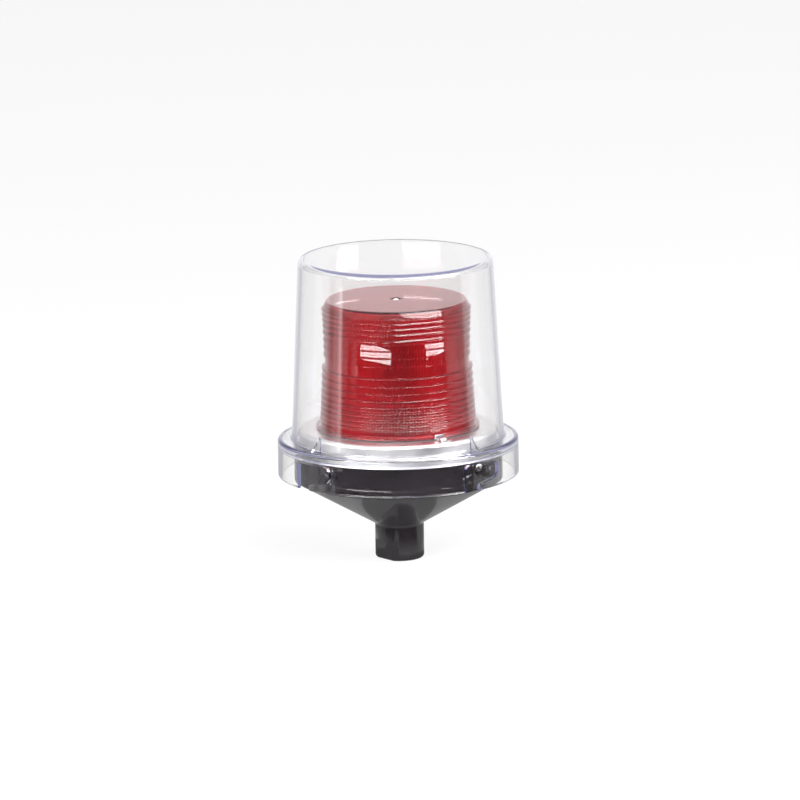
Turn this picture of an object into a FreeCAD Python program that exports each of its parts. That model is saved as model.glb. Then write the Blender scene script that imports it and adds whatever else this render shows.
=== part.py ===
import FreeCAD, Part
import math
import os
import re

import Sketcher
from FreeCAD import Placement, Rotation, Vector

# Strobe warning light: a red Fresnel lens and flash tube on an aluminium deck,
# in a black conical base with a pipe thread, under a clear guard dome that is
# held by a bayonet twist lock.
#
# Frame: millimetres, +Z up, origin at the middle of the hub's lower face.
# The front of the light faces -Y. An azimuth is counted from the front,
# positive towards +X, which is counter-clockwise seen from above.

SIZES = [
    ("hub_radius", 17.25, "outside of the threaded hub"),
    ("hub_round", 2.5, "rounding of the hub's lower edge"),
    ("bore_radius", 10.67, "wall of the pipe thread, half inch pipe"),
    ("bore_depth", 20.0, "depth of the pipe thread"),
    ("passage_radius", 8.0, "wire passage above the thread"),
    ("flats_across", 25.2, "distance between the two wrench flats"),
    ("flats_tall", 14.0, "height of the wrench flats"),
    ("flats_azimuth", -50.0, "direction that one flat faces"),
    ("base_radius", 73.5, "outside of the base's upright wall"),
    ("base_wall", 3.8, "wall of the base"),
    ("corner_level", 58.0, "height where the cone meets the upright wall"),
    ("base_band", 22.0, "height of the upright wall"),
    ("cone_angle", 30.0, "slope of the cone"),
    ("floor_radius", 22.0, "flat floor inside the cone"),
    ("ledge_width", 3.0, "step inside the wall that the deck pan stands on"),
    ("ledge_drop", 12.0, "depth of that step below the rim"),
    ("post_inset", 5.4, "circle of deck posts inside the lens"),
    ("post_radius", 3.6, "outside of a deck post"),
    ("post_azimuth", 89.5, "direction of the first deck post"),
    ("post_count", 3, "deck posts"),
    ("gasket_thick", 1.2, "dome gasket"),
    ("gasket_inset", 0.4, "gasket's edge inside the base's edge"),
    ("seal_clear", 0.1, "gap between gasket and dome"),
    ("flange_thick", 6.7, "dome's flange"),
    ("flange_reach", 11.5, "flange and skirt outside the base's wall"),
    ("flange_round", 2.8, "rounding of the flange's upper edge"),
    ("skirt_wall", 3.0, "wall of the dome's skirt"),
    ("skirt_drop", 20.3, "skirt below the flange's lower face"),
    ("skirt_round", 1.2, "rounding of the skirt's lower edge"),
    ("dome_margin", 1.4, "dome's foot outside the base's wall"),
    ("dome_rise", 128.0, "height of the dome above the flange"),
    ("dome_draft", 2.8, "slope of the dome's wall"),
    ("dome_wall", 3.0, "wall of the dome"),
    ("dome_round", 4.0, "rounding of the dome's upper edge"),
    ("dome_inner_round", 1.9, "rounding inside the dome's upper edge"),
    ("gusset_azimuth", 43.0, "direction of the first gusset"),
    ("gusset_tall", 10.0, "gusset's height at the dome's wall"),
    ("gusset_inset", 3.0, "gusset's toe inside the flange's edge"),
    ("gusset_toe", 0.6, "gusset's height at its toe"),
    ("gusset_thick", 2.0, "gusset"),
    ("lock_count", 4, "bayonet slots, lugs and gussets"),
    ("slot_azimuth", 44.5, "direction of the middle of the first slot"),
    ("slot_run", 31.7, "slot from its entry wall to its closed end"),
    ("slot_entry", 12.3, "width of the slot's entry"),
    ("slot_height", 12.4, "height of the slot at its closed end"),
    ("slot_roof", 1.3, "material between the slot and the flange"),
    ("slot_start", 8.0, "start of the slot's cut inside the skirt"),
    ("slot_corner", 3.5, "rounding of the slot's upper corner"),
    ("ramp_drop", 2.3, "fall of the slot's lower edge towards the entry"),
    ("finger_round", 1.2, "rounding of the finger's tip"),
    ("lug_radius", 4.1, "round bayonet lug"),
    ("lug_inset", 0.8, "lug's end inside the skirt's outside"),
    ("lug_chamfer", 0.8, "chamfer of the lug's end"),
    ("lug_clear", 0.35, "gap between the lug and the slot"),
    ("spigot_radius", 2.6, "stem of the lug in the base's wall"),
    ("spigot_inset", 0.5, "stem's end short of the wall's inside"),
    ("fit_clear", 0.05, "running gap of a stem in its hole"),
    ("hole_over", 1.0, "hole past the end of its screw or pin"),
    ("cut_over", 1.0, "cut past the material, or foot of a rib inside its wall"),
    ("pan_clear", 0.3, "gap between the deck pan and the base"),
    ("pan_sheet", 1.5, "sheet of the deck pan"),
    ("pan_round", 3.0, "rounding of the deck pan's edge"),
    ("deck_rise", 15.1, "deck above the base's rim"),
    ("socket_hole", 13.0, "hole in the middle of the deck"),
    ("lens_seal", 0.8, "foam ring under the lens"),
    ("seal_inset", 0.5, "foam ring's edges inside the lens's foot"),
    ("lens_margin", 11.9, "lens flange inside the deck pan's edge"),
    ("lens_flange_thick", 2.0, "lens flange"),
    ("lens_tall", 90.3, "height of the lens"),
    ("lens_disc_inset", 8.8, "edge of the flat top, inside the lens flange's edge"),
    ("lens_inner_foot_inset", 7.1, "inner wall at the foot, inside the lens flange's edge"),
    ("lens_inner_top_inset", 10.6, "inner wall at the top, inside the lens flange's edge"),
    ("lens_crown", 2.6, "thickness of the lens top"),
    ("focal_rise", 48.0, "light's focal plane above the deck"),
    ("band_half", 3.55, "half of the smooth band at the focal plane"),
    ("band_inset", 6.5, "smooth band, inside the lens flange's edge"),
    ("rib_first", 5.7, "width of the rib beside the smooth band"),
    ("rib_ratio", 0.925, "width of each rib to the one before it"),
    ("rib_depth", 1.4, "depth of the ribs"),
    ("rib_crest", 0.45, "crest of a rib as a share of its width"),
    ("rim_plain", 3.5, "plain edge above the ribs"),
    ("foot_plain", 1.5, "plain foot below the ribs"),
    ("upper_near_inset", 5.6, "upper ribs beside the smooth band, inside the lens flange's edge"),
    ("upper_far_inset", 4.6, "upper ribs at the top, inside the lens flange's edge"),
    ("lower_near_inset", 4.1, "lower ribs beside the smooth band, inside the lens flange's edge"),
    ("lower_far_inset", 2.2, "lower ribs at the foot, inside the lens flange's edge"),
    ("gate_radius", 4.6, "moulding gate dimple in the lens top"),
    ("gate_depth", 0.9, "depth of that dimple"),
    ("clip_azimuth", 29.5, "direction of the first lens clip"),
    ("clip_count", 2, "lens clips"),
    ("clip_sheet", 1.0, "sheet of a lens clip"),
    ("clip_width", 8.0, "width of a lens clip"),
    ("clip_reach", 8.0, "clip outside the lens flange"),
    ("clip_grip", 2.6, "clip over the lens flange"),
    ("clip_gap", 0.3, "gap between clip and lens flange"),
    ("screw_radius", 1.6, "shank of the small screws"),
    ("head_radius", 2.9, "head of the small screws"),
    ("head_tall", 2.2, "height of a round head"),
    ("screw_length", 7.0, "shank of the small screws"),
    ("lock_screw_azimuth", 45.3, "direction of the screw beside the lug"),
    ("boss_radius", 3.4, "boss under that screw"),
    ("lock_screw_drop", 3.8, "that screw below the base's rim"),
    ("boss_clear", 1.1, "gap between that screw's head and the skirt"),
    ("lock_head", 3.15, "head of that screw"),
    ("socket_radius", 16.0, "tube socket above the deck"),
    ("socket_tall", 14.0, "tube socket above the deck"),
    ("socket_drop", 4.5, "tube socket below the deck"),
    ("socket_round", 1.0, "rounding of the socket's upper edge"),
    ("ear_gap", 3.8, "socket screw outside the socket's wall"),
    ("ear_tip", 4.2, "flange past its screw"),
    ("ear_thick", 3.0, "socket's flange"),
    ("ear_half", 6.5, "half width of the socket's flange"),
    ("plug_radius", 14.0, "plug of the flash tube"),
    ("plug_tall", 12.0, "plug above the socket"),
    ("plug_round", 0.8, "rounding of the plug's lower edge"),
    ("pin_radius", 1.2, "contact pin"),
    ("pin_ring", 8.5, "radius of the circle of pins"),
    ("pin_length", 9.0, "pin in the socket"),
    ("pin_count", 4, "contact pins"),
    ("tube_radius", 3.0, "outside of the flash tube's glass"),
    ("tube_half", 6.8, "leg of the flash tube from the middle"),
    ("tube_leg", 28.0, "straight leg of the flash tube"),
    ("cap_tall", 4.0, "metal cap on each end of the tube"),
    ("cap_wall", 0.5, "wall of that cap"),
    ("envelope_wall", 1.0, "glass cover over the tube"),
    ("envelope_clear", 4.2, "glass cover above the tube's bend"),
    ("cover_seat", 3.0, "step of the plug that the glass cover stands on"),
    ("cover_gap", 0.4, "gap between that step and the glass cover"),
    ("wire_radius", 0.4, "trigger wire"),
    ("board_inset", 7.0, "board's edge inside the circle of deck posts"),
    ("board_drawn", 38.0, "board radius that the sizes in ON_BOARD are for"),
    ("board_thick", 1.6, "circuit board"),
    ("board_drop", 14.0, "board below the deck"),
    ("pillar_ring", 32.0, "radius of the circle of board pillars"),
    ("pillar_radius", 3.2, "board pillar"),
    ("pillar_azimuth", 60.0, "direction of the first pillar"),
    ("pillar_count", 3, "board pillars"),
    ("can_radius", 12.5, "storage capacitor"),
    ("can_length", 46.0, "storage capacitor"),
    ("can_back", 13.6, "capacitor behind the middle"),
    ("can_round", 1.5, "rounding of the capacitor's ends"),
    ("part_gap", 0.2, "gap between a part and the board"),
    ("core_width", 32.0, "transformer core"),
    ("core_deep", 12.0, "transformer core"),
    ("core_tall", 26.0, "transformer core"),
    ("core_limb", 7.0, "limb of the transformer core"),
    ("core_front", 17.0, "transformer in front of the middle"),
    ("coil_deep", 19.0, "transformer winding"),
    ("coil_gap", 0.3, "gap between winding and core"),
    ("trigger_radius", 4.5, "trigger coil"),
    ("trigger_clear", 4.5, "deck above the trigger coil"),
    ("sink_width", 20.0, "heat sink"),
    ("sink_deep", 9.0, "heat sink"),
    ("sink_clear", 2.5, "deck above the heat sink"),
    ("fin_thick", 1.4, "fin of the heat sink"),
    ("transistor_width", 10.0, "power transistor"),
    ("transistor_deep", 4.5, "power transistor"),
    ("transistor_step", 1.0, "heat sink above the transistor"),
    ("sink_back", 18.0, "heat sink behind the middle"),
    ("fin_count", 5, "fins of the heat sink"),
    ("block_pitch", 6.5, "way of the terminal block"),
    ("block_ways", 3, "ways of the terminal block"),
    ("block_deep", 9.0, "terminal block"),
    ("block_tall", 11.0, "terminal block"),
    ("block_gap", 2.0, "gap between terminal block and capacitor"),
    ("well_rim", 0.5, "terminal's screw well outside a screw shank"),
    ("well_deep", 3.2, "terminal's screw well"),
    ("clamp_tall", 1.65, "head of a terminal screw"),
    ("mouth_share", 0.55, "width of a wire mouth as a share of its way"),
    ("mouth_tall", 4.4, "wire mouth"),
    ("mouth_deep", 4.4, "wire mouth"),
    ("mouth_rise", 3.85, "wire mouth above the block's lower face"),
    ("earth_inset", 7.0, "earth screw inside the circle of deck posts"),
    ("earth_azimuth", 150.0, "direction of the earth screw"),
    ("lead_radius", 0.8, "insulated lead to the socket"),
]

# Places that follow from the sizes above.
PLACES = {
    "cone_tan": "tan(cone_angle * 1 deg)",
    "cone_cos": "cos(cone_angle * 1 deg)",
    "cone_foot": "corner_level - (base_radius - hub_radius) * cone_tan",
    "cone_inside": "cone_foot + base_wall / cone_cos - hub_radius * cone_tan",
    "floor_level": "cone_inside + floor_radius * cone_tan",
    "rim_level": "corner_level + base_band",
    "base_inside": "base_radius - base_wall",
    "flange_radius": "base_radius + flange_reach",
    "dome_foot": "base_radius + dome_margin",
    "ledge_radius": "base_inside - ledge_width",
    "ledge_level": "rim_level - ledge_drop",
    "flange_under": "rim_level + gasket_thick + seal_clear",
    "flange_top": "flange_under + flange_thick",
    "dome_top": "flange_top + dome_rise",
    "skirt_low": "flange_under - skirt_drop",
    "skirt_inside": "flange_radius - skirt_wall",
    "draft_tan": "tan(dome_draft * 1 deg)",
    "draft_cos": "cos(dome_draft * 1 deg)",
    "dome_shoulder": "dome_foot - dome_rise * draft_tan",
    "dome_bore": "dome_foot + flange_thick * draft_tan - dome_wall / draft_cos",
    "dome_bore_top": "dome_shoulder + dome_wall * (draft_tan - 1 / draft_cos)",
    "slot_top": "flange_under - slot_roof",
    "slot_end_round": "slot_height / 2",
    "slot_left": "-slot_run / 2",
    "slot_right": "slot_run / 2",
    "finger_side": "slot_left + slot_entry",
    "slot_floor": "slot_top - slot_height",
    "slot_bite": "(slot_right - slot_end_round) / (flange_radius - skirt_wall / 2)",
    "lug_turn": "slot_azimuth * 1 deg + asin(slot_bite)",
    "lug_level": "slot_floor + lug_clear + lug_radius",
    "lug_tip": "flange_radius - lug_inset",
    "boss_face": "skirt_inside - boss_clear - head_tall",
    "lock_level": "rim_level - lock_screw_drop",
    "gusset_end": "flange_radius - gusset_inset",
    "pan_radius": "base_inside - pan_clear",
    "deck_level": "rim_level + deck_rise",
    "deck_under": "deck_level - pan_sheet",
    "lens_flange": "pan_radius - lens_margin",
    "lens_disc": "lens_flange - lens_disc_inset",
    "lens_inner_foot": "lens_flange - lens_inner_foot_inset",
    "lens_inner_top": "lens_flange - lens_inner_top_inset",
    "band_radius": "lens_flange - band_inset",
    "upper_near": "lens_flange - upper_near_inset",
    "upper_far": "lens_flange - upper_far_inset",
    "lower_near": "lens_flange - lower_near_inset",
    "lower_far": "lens_flange - lower_far_inset",
    "post_ring": "lens_inner_foot - post_inset",
    "earth_ring": "post_ring - earth_inset",
    "board_radius": "post_ring - board_inset",
    "ear_screw": "socket_radius + ear_gap",
    "socket_ear": "ear_screw + ear_tip",
    "lens_foot": "deck_level + lens_seal",
    "lens_top": "lens_foot + lens_tall",
    "lens_flange_top": "lens_foot + lens_flange_thick",
    "focus": "deck_level + focal_rise",
    "clip_ring": "lens_flange + clip_gap + clip_sheet + clip_reach / 2",
    "clip_under": "lens_flange_top + clip_gap / 3",
    "socket_top": "deck_level + socket_tall",
    "plug_top": "socket_top + plug_tall",
    "bend_level": "plug_top + cap_tall + tube_leg",
    "cover_top": "bend_level + tube_half + tube_radius + envelope_clear",
    "board_top": "deck_under - board_drop",
    "board_under": "board_top - board_thick",
    "hang_level": "board_under - part_gap",
    "stand_level": "board_top + part_gap",
    "sink_tall": "board_drop - sink_clear",
    "trigger_tall": "board_drop - trigger_clear",
    "block_side": "can_length / 2 + block_gap + block_deep / 2",
}

doc = FreeCAD.newDocument("strobe_light")
dims = doc.addObject("Spreadsheet::Sheet", "dims")
for row, (alias, amount, note) in enumerate(SIZES, start=1):
    dims.set(f"A{row}", alias)
    dims.set(f"B{row}", str(amount))
    dims.setAlias(f"B{row}", alias)
    dims.set(f"C{row}", note)
doc.recompute()

ALIASES = {alias for alias, amount, note in SIZES}

# Plan sizes of the board's parts. They are drawn for a board of board_drawn
# radius, and they follow the radius that the board really has.
ON_BOARD = {
    "can_radius", "can_length", "can_back", "core_width", "core_deep", "core_limb",
    "core_front", "coil_deep", "trigger_radius", "sink_width", "sink_deep", "sink_back",
    "transistor_width", "transistor_deep", "block_pitch", "block_deep", "pillar_ring",
}
NAME = re.compile(r"[a-z_]+")


def bound(text):
    """The sheet expression for a formula written with plain size names."""
    def link(match):
        word = match.group(0)
        if word in ON_BOARD:
            return f"(dims.{word} * {bound('board_radius')} / dims.board_drawn)"
        if word in ALIASES:
            return "dims." + word
        if word in PLACES:
            return "(" + bound(PLACES[word]) + ")"
        return word
    return NAME.sub(link, str(text))


def number(text):
    """The present value of a formula."""
    answer = dims.evalExpression(bound(text))
    return float(getattr(answer, "Value", answer))


def new_body(label):
    body = doc.addObject("PartDesign::Body", label)
    body.Label = label
    body.AllowCompound = True
    return body


def origin_part(body, role):
    return next(part for part in body.Origin.OriginFeatures if part.Role == role)


def sketch_on(body, name, role="XZ_Plane", turn=None, out=None, level=None):
    """A sketch on one of the body's own planes. turn swings it about the
    upright axis, out moves an upright sketch away from that axis, and level
    lifts a flat one."""
    sketch = body.newObject("Sketcher::SketchObject", name)
    sketch.AttachmentSupport = (origin_part(body, role), [""])
    sketch.MapMode = "FlatFace"
    upright = Vector(0, 1, 0) if role == "XZ_Plane" else Vector(0, 0, 1)
    sketch.AttachmentOffset = Placement(Vector(0, 0, 0), Rotation(upright, 1))
    angle = bound(turn) if turn is not None else "0"
    if "deg" not in angle:
        angle = f"({angle}) * 1 deg"
    sketch.setExpression("AttachmentOffset.Rotation.Angle", angle)
    if out is not None:
        sketch.setExpression("AttachmentOffset.Base.x", f"({bound(out)}) * sin({angle})")
        sketch.setExpression("AttachmentOffset.Base.z", f"({bound(out)}) * cos({angle})")
    if level is not None:
        sketch.setExpression("AttachmentOffset.Base.z", bound(level))
    return sketch


def pin_point(sketch, piece, end, across, up):
    """Ties one sketch point to two formulas."""
    for kind, axis, formula in (("DistanceX", -2, across), ("DistanceY", -1, up)):
        amount = number(formula)
        if str(formula) == "0":
            sketch.addConstraint(Sketcher.Constraint("PointOnObject", piece, end, axis))
        else:
            tie = Sketcher.Constraint(kind, -1, 1, piece, end, amount)
            place = sketch.addConstraint(tie)
            sketch.setExpression(f"Constraints[{place}]", bound(formula))


def arc_between(start, finish, radius):
    """Arc of a signed radius from start to finish. A positive radius turns
    to the left."""
    chord = finish - start
    middle = (start + finish) * 0.5
    rise = math.sqrt(max(radius * radius - chord.Length * chord.Length / 4, 0.0))
    side = Vector(-chord.y, chord.x, 0).normalize() * math.copysign(rise, radius)
    centre = middle + side
    first, last = (start, finish) if radius > 0 else (finish, start)
    low = math.atan2(first.y - centre.y, first.x - centre.x)
    high = math.atan2(last.y - centre.y, last.x - centre.x)
    circle = Part.Circle(centre, Vector(0, 0, 1), abs(radius))
    return Part.ArcOfCircle(circle, low, high if high > low else high + 2 * math.pi)


def draw(sketch, corners):
    """Closed outline through corners of (across, up), with an optional signed
    arc radius that leads to the next corner."""
    points = [Vector(number(corner[0]), number(corner[1]), 0) for corner in corners]
    ends = []
    for index, corner in enumerate(corners):
        start = points[index]
        finish = points[(index + 1) % len(points)]
        if len(corner) == 3:
            radius = number(corner[2])
            piece = sketch.addGeometry(arc_between(start, finish, radius), False)
            ends.append((piece, 1, 2) if radius > 0 else (piece, 2, 1))
        else:
            piece = sketch.addGeometry(Part.LineSegment(start, finish), False)
            ends.append((piece, 1, 2))
    for index, corner in enumerate(corners):
        piece, first, last = ends[index]
        before = ends[index - 1]
        sketch.addConstraint(Sketcher.Constraint("Coincident", before[0], before[2], piece, first))
        pin_point(sketch, piece, first, corner[0], corner[1])
        if len(corner) == 3:
            size = sketch.addConstraint(Sketcher.Constraint("Radius", piece, abs(number(corner[2]))))
            sketch.setExpression(f"Constraints[{size}]", f"abs({bound(corner[2])})")
    return sketch


def draw_circle(sketch, across, up, radius):
    centre = Vector(number(across), number(up), 0)
    piece = sketch.addGeometry(Part.Circle(centre, Vector(0, 0, 1), number(radius)), False)
    pin_point(sketch, piece, 3, across, up)
    size = sketch.addConstraint(Sketcher.Constraint("Radius", piece, number(radius)))
    sketch.setExpression(f"Constraints[{size}]", bound(radius))
    return sketch


def revolve(body, sketch, name, kind="PartDesign::Revolution", axis="V_Axis"):
    feature = body.newObject(kind, name)
    feature.Profile = sketch
    feature.ReferenceAxis = (sketch, [axis])
    feature.Angle = 360
    sketch.Visibility = False
    doc.recompute()
    return feature


def turned(label, corners):
    """A body turned about the upright axis."""
    body = new_body(label)
    revolve(body, draw(sketch_on(body, label + "_outline"), corners), label + "_turned")
    return body


def pad(body, sketch, name, length, middle=False):
    feature = body.newObject("PartDesign::Pad", name)
    feature.Profile = sketch
    feature.setExpression("Length", bound(length))
    feature.Midplane = middle
    doc.recompute()
    return feature


def cut(body, sketch, name, length, forward=True):
    """A pocket along the sketch's normal, or against it. It has to remove
    material."""
    before = body.Shape.Volume
    feature = body.newObject("PartDesign::Pocket", name)
    feature.Profile = sketch
    feature.setExpression("Length", bound(length))
    feature.Reversed = forward
    doc.recompute()
    if body.Shape.Volume >= before - 1e-6:
        raise RuntimeError(name + " removes nothing")
    return feature


def ring(body, feature, name, count):
    """Copies a feature evenly round the upright axis."""
    pattern = body.newObject("PartDesign::PolarPattern", name)
    pattern.Originals = [feature]
    pattern.Axis = (origin_part(body, "Z_Axis"), [""])
    pattern.Angle = 360
    pattern.setExpression("Occurrences", bound(count))
    body.Tip = pattern
    doc.recompute()
    return pattern


def circle_edges(shape, radius, level):
    """Names of the edges that circle the upright axis at a radius and level."""
    names = []
    for index, edge in enumerate(shape.Edges, start=1):
        curve = edge.Curve
        if not isinstance(curve, Part.Circle):
            continue
        offset = math.hypot(curve.Center.x, curve.Center.y)
        if offset < 1e-4 and abs(curve.Radius - radius) < 1e-3 and abs(curve.Center.z - level) < 1e-3:
            names.append(f"Edge{index}")
    return names


def round_edges(body, name, radius, *places):
    """Rounds the circular edges at places of (radius, level)."""
    base = body.Tip
    names = []
    for across, up in places:
        names += circle_edges(base.Shape, number(across), number(up))
    if len(names) < len(places):
        raise RuntimeError(name + " misses an edge")
    feature = body.newObject("PartDesign::Fillet", name)
    feature.Base = (base, names)
    feature.setExpression("Radius", bound(radius))
    doc.recompute()
    return feature


def spindle(body, name, turn, across, corners, upright=True):
    """A part turned about its own axis. An upright spindle stands at a
    distance from the middle, a lying one points outwards at a level.
    Corners are (along, off): along the axis and off it."""
    sketch = sketch_on(body, name + "_outline", turn=f"({turn}) - 90 * 1 deg")
    if upright:
        places = [(f"{across} + {off}", along) for along, off in corners]
    else:
        places = [(along, f"{across} + {off}") for along, off in corners]
    draw(sketch, places)
    a = places[0]
    b = places[-1]
    first = Vector(number(a[0]), number(a[1]), 0)
    last = Vector(number(b[0]), number(b[1]), 0)
    line = sketch.addGeometry(Part.LineSegment(first, last), True)
    pin_point(sketch, line, 1, *a)
    pin_point(sketch, line, 2, *b)
    return revolve(body, sketch, name + "_turned", axis="Axis0")


def screw_outline(seat, head, tall, shank, length, up=1):
    """Half outline of a round-headed screw whose head stands on a seat.
    up is 1 for a head above or outside its seat and -1 for one below."""
    sign = "+" if up > 0 else "-"
    other = "-" if up > 0 else "+"
    crown = f"{seat} {sign} {tall}"
    return [
        (crown, "0"),
        (crown, f"{head} * 0.55"),
        (f"{seat} {sign} {tall} * 0.72", f"{head} * 0.85"),
        (f"{seat} {sign} {tall} * 0.3", head),
        (seat, head),
        (seat, shank),
        (f"{seat} {other} {length}", shank),
        (f"{seat} {other} {length}", "0"),
    ]


def primitive(kind, label, sizes, places=None):
    """A Part primitive with its sizes and position tied to the sheet."""
    solid = doc.addObject("Part::" + kind, label)
    solid.Label = label
    for name, formula in sizes.items():
        solid.setExpression(name, bound(formula))
    for axis, formula in (places or {}).items():
        solid.setExpression("Placement.Base." + axis, bound(formula))
    return solid


def combine(kind, label, solids):
    """A fusion or a cut of other objects."""
    if kind == "Cut":
        result = doc.addObject("Part::Cut", label)
        result.Base, result.Tool = solids
    else:
        result = doc.addObject("Part::Multi" + kind, label)
        result.Shapes = solids
    result.Label = label
    return result


pieces = []


def make_base_housing():
    """Black base: threaded hub, cone and upright wall in one moulding, with
    an inside step for the deck pan and posts for the deck screws."""
    body = turned("base_housing", [
        ("bore_radius", "0"),
        ("hub_radius", "0"),
        ("hub_radius", "cone_foot"),
        ("base_radius", "corner_level"),
        ("base_radius", "rim_level"),
        ("base_inside", "rim_level"),
        ("base_inside", "ledge_level"),
        ("ledge_radius", "ledge_level"),
        ("ledge_radius", "cone_inside + ledge_radius * cone_tan"),
        ("floor_radius", "floor_level"),
        ("passage_radius", "floor_level"),
        ("passage_radius", "bore_depth"),
        ("bore_radius", "bore_depth"),
    ])
    round_edges(body, "hub_edge", "hub_round", ("hub_radius", "0"))
    round_edges(body, "cone_edges", "hub_round",
                ("hub_radius", "cone_foot"), ("base_radius", "corner_level"))

    flats = sketch_on(body, "flats_outline", role="XY_Plane", turn="flats_azimuth - 90")
    draw(flats, [
        ("flats_across / 2", "-hub_radius"),
        ("hub_radius + cut_over", "-hub_radius"),
        ("hub_radius + cut_over", "hub_radius"),
        ("flats_across / 2", "hub_radius"),
    ])
    ring(body, cut(body, flats, "wrench_flat", "flats_tall"), "wrench_flats", "2")

    lug_hole = sketch_on(body, "lug_hole_outline", turn="lug_turn", out="ledge_radius - cut_over")
    draw_circle(lug_hole, "0", "lug_level", "spigot_radius + fit_clear")
    hole = cut(body, lug_hole, "lug_hole", "base_wall + ledge_width + 2 * cut_over")
    ring(body, hole, "lug_holes", "lock_count")

    boss = sketch_on(body, "boss_outline", turn="lock_screw_azimuth", out="base_inside + base_wall / 2")
    draw_circle(boss, "0", "lock_level", "boss_radius")
    pad(body, boss, "screw_boss", "boss_face - base_inside - base_wall / 2")
    boss_hole = sketch_on(body, "boss_hole_outline", turn="lock_screw_azimuth", out="boss_face")
    draw_circle(boss_hole, "0", "lock_level", "screw_radius + fit_clear")
    cut(body, boss_hole, "boss_hole", "screw_length + hole_over", forward=False)

    post = sketch_on(body, "post_outline", role="XY_Plane", turn="post_azimuth - 90", level="deck_under")
    draw_circle(post, "post_ring", "0", "post_radius")
    post_pad = pad(body, post, "deck_post", "post_radius")
    post_pad.Reversed = True
    post_pad.Type = "UpToFirst"
    doc.recompute()
    ring(body, post_pad, "deck_posts", "post_count")
    post_hole = sketch_on(body, "post_hole_outline", role="XY_Plane", turn="post_azimuth - 90",
                          level="deck_under")
    draw_circle(post_hole, "post_ring", "0", "screw_radius + fit_clear")
    hole = cut(body, post_hole, "post_hole", "screw_length + hole_over", forward=False)
    ring(body, hole, "post_holes", "post_count")
    pieces.append(body)


def make_bayonet_lugs():
    """Four round studs in the base's wall that hold the dome down."""
    body = new_body("bayonet_lugs")
    lug = spindle(body, "lug", "lug_turn", "lug_level", [
        ("base_inside + spigot_inset", "0"),
        ("base_inside + spigot_inset", "spigot_radius"),
        ("base_radius", "spigot_radius"),
        ("base_radius", "lug_radius"),
        ("lug_tip - lug_chamfer", "lug_radius"),
        ("lug_tip", "lug_radius - lug_chamfer"),
        ("lug_tip", "0"),
    ], upright=False)
    ring(body, lug, "lugs", "lock_count")
    pieces.append(body)


def make_lock_screw():
    """Round-headed screw beside the front right lug."""
    body = new_body("lock_screw")
    spindle(body, "lock", "lock_screw_azimuth * 1 deg", "lock_level",
            screw_outline("boss_face", "lock_head", "head_tall", "screw_radius", "screw_length"),
            upright=False)
    pieces.append(body)


def make_dome_gasket():
    """Flat ring between the base's rim and the dome's flange."""
    pieces.append(turned("dome_gasket", [
        ("base_inside + gasket_inset", "rim_level"),
        ("base_radius - gasket_inset", "rim_level"),
        ("base_radius - gasket_inset", "rim_level + gasket_thick"),
        ("base_inside + gasket_inset", "rim_level + gasket_thick"),
    ]))


def make_guard_dome():
    """Clear guard dome, flange and skirt in one moulding, with a bayonet slot
    and a gusset in each quarter."""
    body = turned("guard_dome", [
        ("0", "dome_top"),
        ("dome_shoulder", "dome_top"),
        ("dome_foot", "flange_top"),
        ("flange_radius", "flange_top"),
        ("flange_radius", "skirt_low"),
        ("skirt_inside", "skirt_low"),
        ("skirt_inside", "flange_under"),
        ("dome_bore", "flange_under"),
        ("dome_bore_top", "dome_top - dome_wall"),
        ("0", "dome_top - dome_wall"),
    ])
    round_edges(body, "dome_edge", "dome_round", ("dome_shoulder", "dome_top"))
    round_edges(body, "dome_inner_edge", "dome_inner_round",
                ("dome_bore_top", "dome_top - dome_wall"))
    round_edges(body, "flange_edge", "flange_round", ("flange_radius", "flange_top"))
    round_edges(body, "skirt_edges", "skirt_round",
                ("flange_radius", "skirt_low"), ("skirt_inside", "skirt_low"))
    round_edges(body, "dome_root", "flange_round / 2", ("dome_foot", "flange_top"))

    rib = sketch_on(body, "gusset_outline", turn="gusset_azimuth - 90")
    draw(rib, [
        ("dome_foot - dome_wall / 2", "flange_top - cut_over"),
        ("gusset_end", "flange_top - cut_over"),
        ("gusset_end", "flange_top + gusset_toe"),
        ("dome_foot - gusset_tall * draft_tan", "flange_top + gusset_tall"),
        ("dome_foot - dome_wall / 2", "flange_top + gusset_tall"),
    ])
    ring(body, pad(body, rib, "gusset", "gusset_thick", middle=True), "gussets", "lock_count")

    slot = sketch_on(body, "slot_outline", turn="slot_azimuth", out="skirt_inside - slot_start")
    draw(slot, [
        ("slot_left", "skirt_low - cut_over"),
        ("slot_left", "slot_top - slot_corner", "-slot_corner"),
        ("slot_left + slot_corner", "slot_top"),
        ("slot_right - slot_end_round", "slot_top", "-slot_end_round"),
        ("slot_right", "slot_top - slot_end_round", "-slot_end_round"),
        ("slot_right - slot_end_round", "slot_floor"),
        ("finger_side + finger_round", "slot_floor - ramp_drop", "finger_round"),
        ("finger_side", "slot_floor - ramp_drop - finger_round"),
        ("finger_side", "skirt_low - cut_over"),
    ])
    ring(body, cut(body, slot, "bayonet_slot", "skirt_wall + 2 * slot_start"), "bayonet_slots", "lock_count")
    pieces.append(body)


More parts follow.
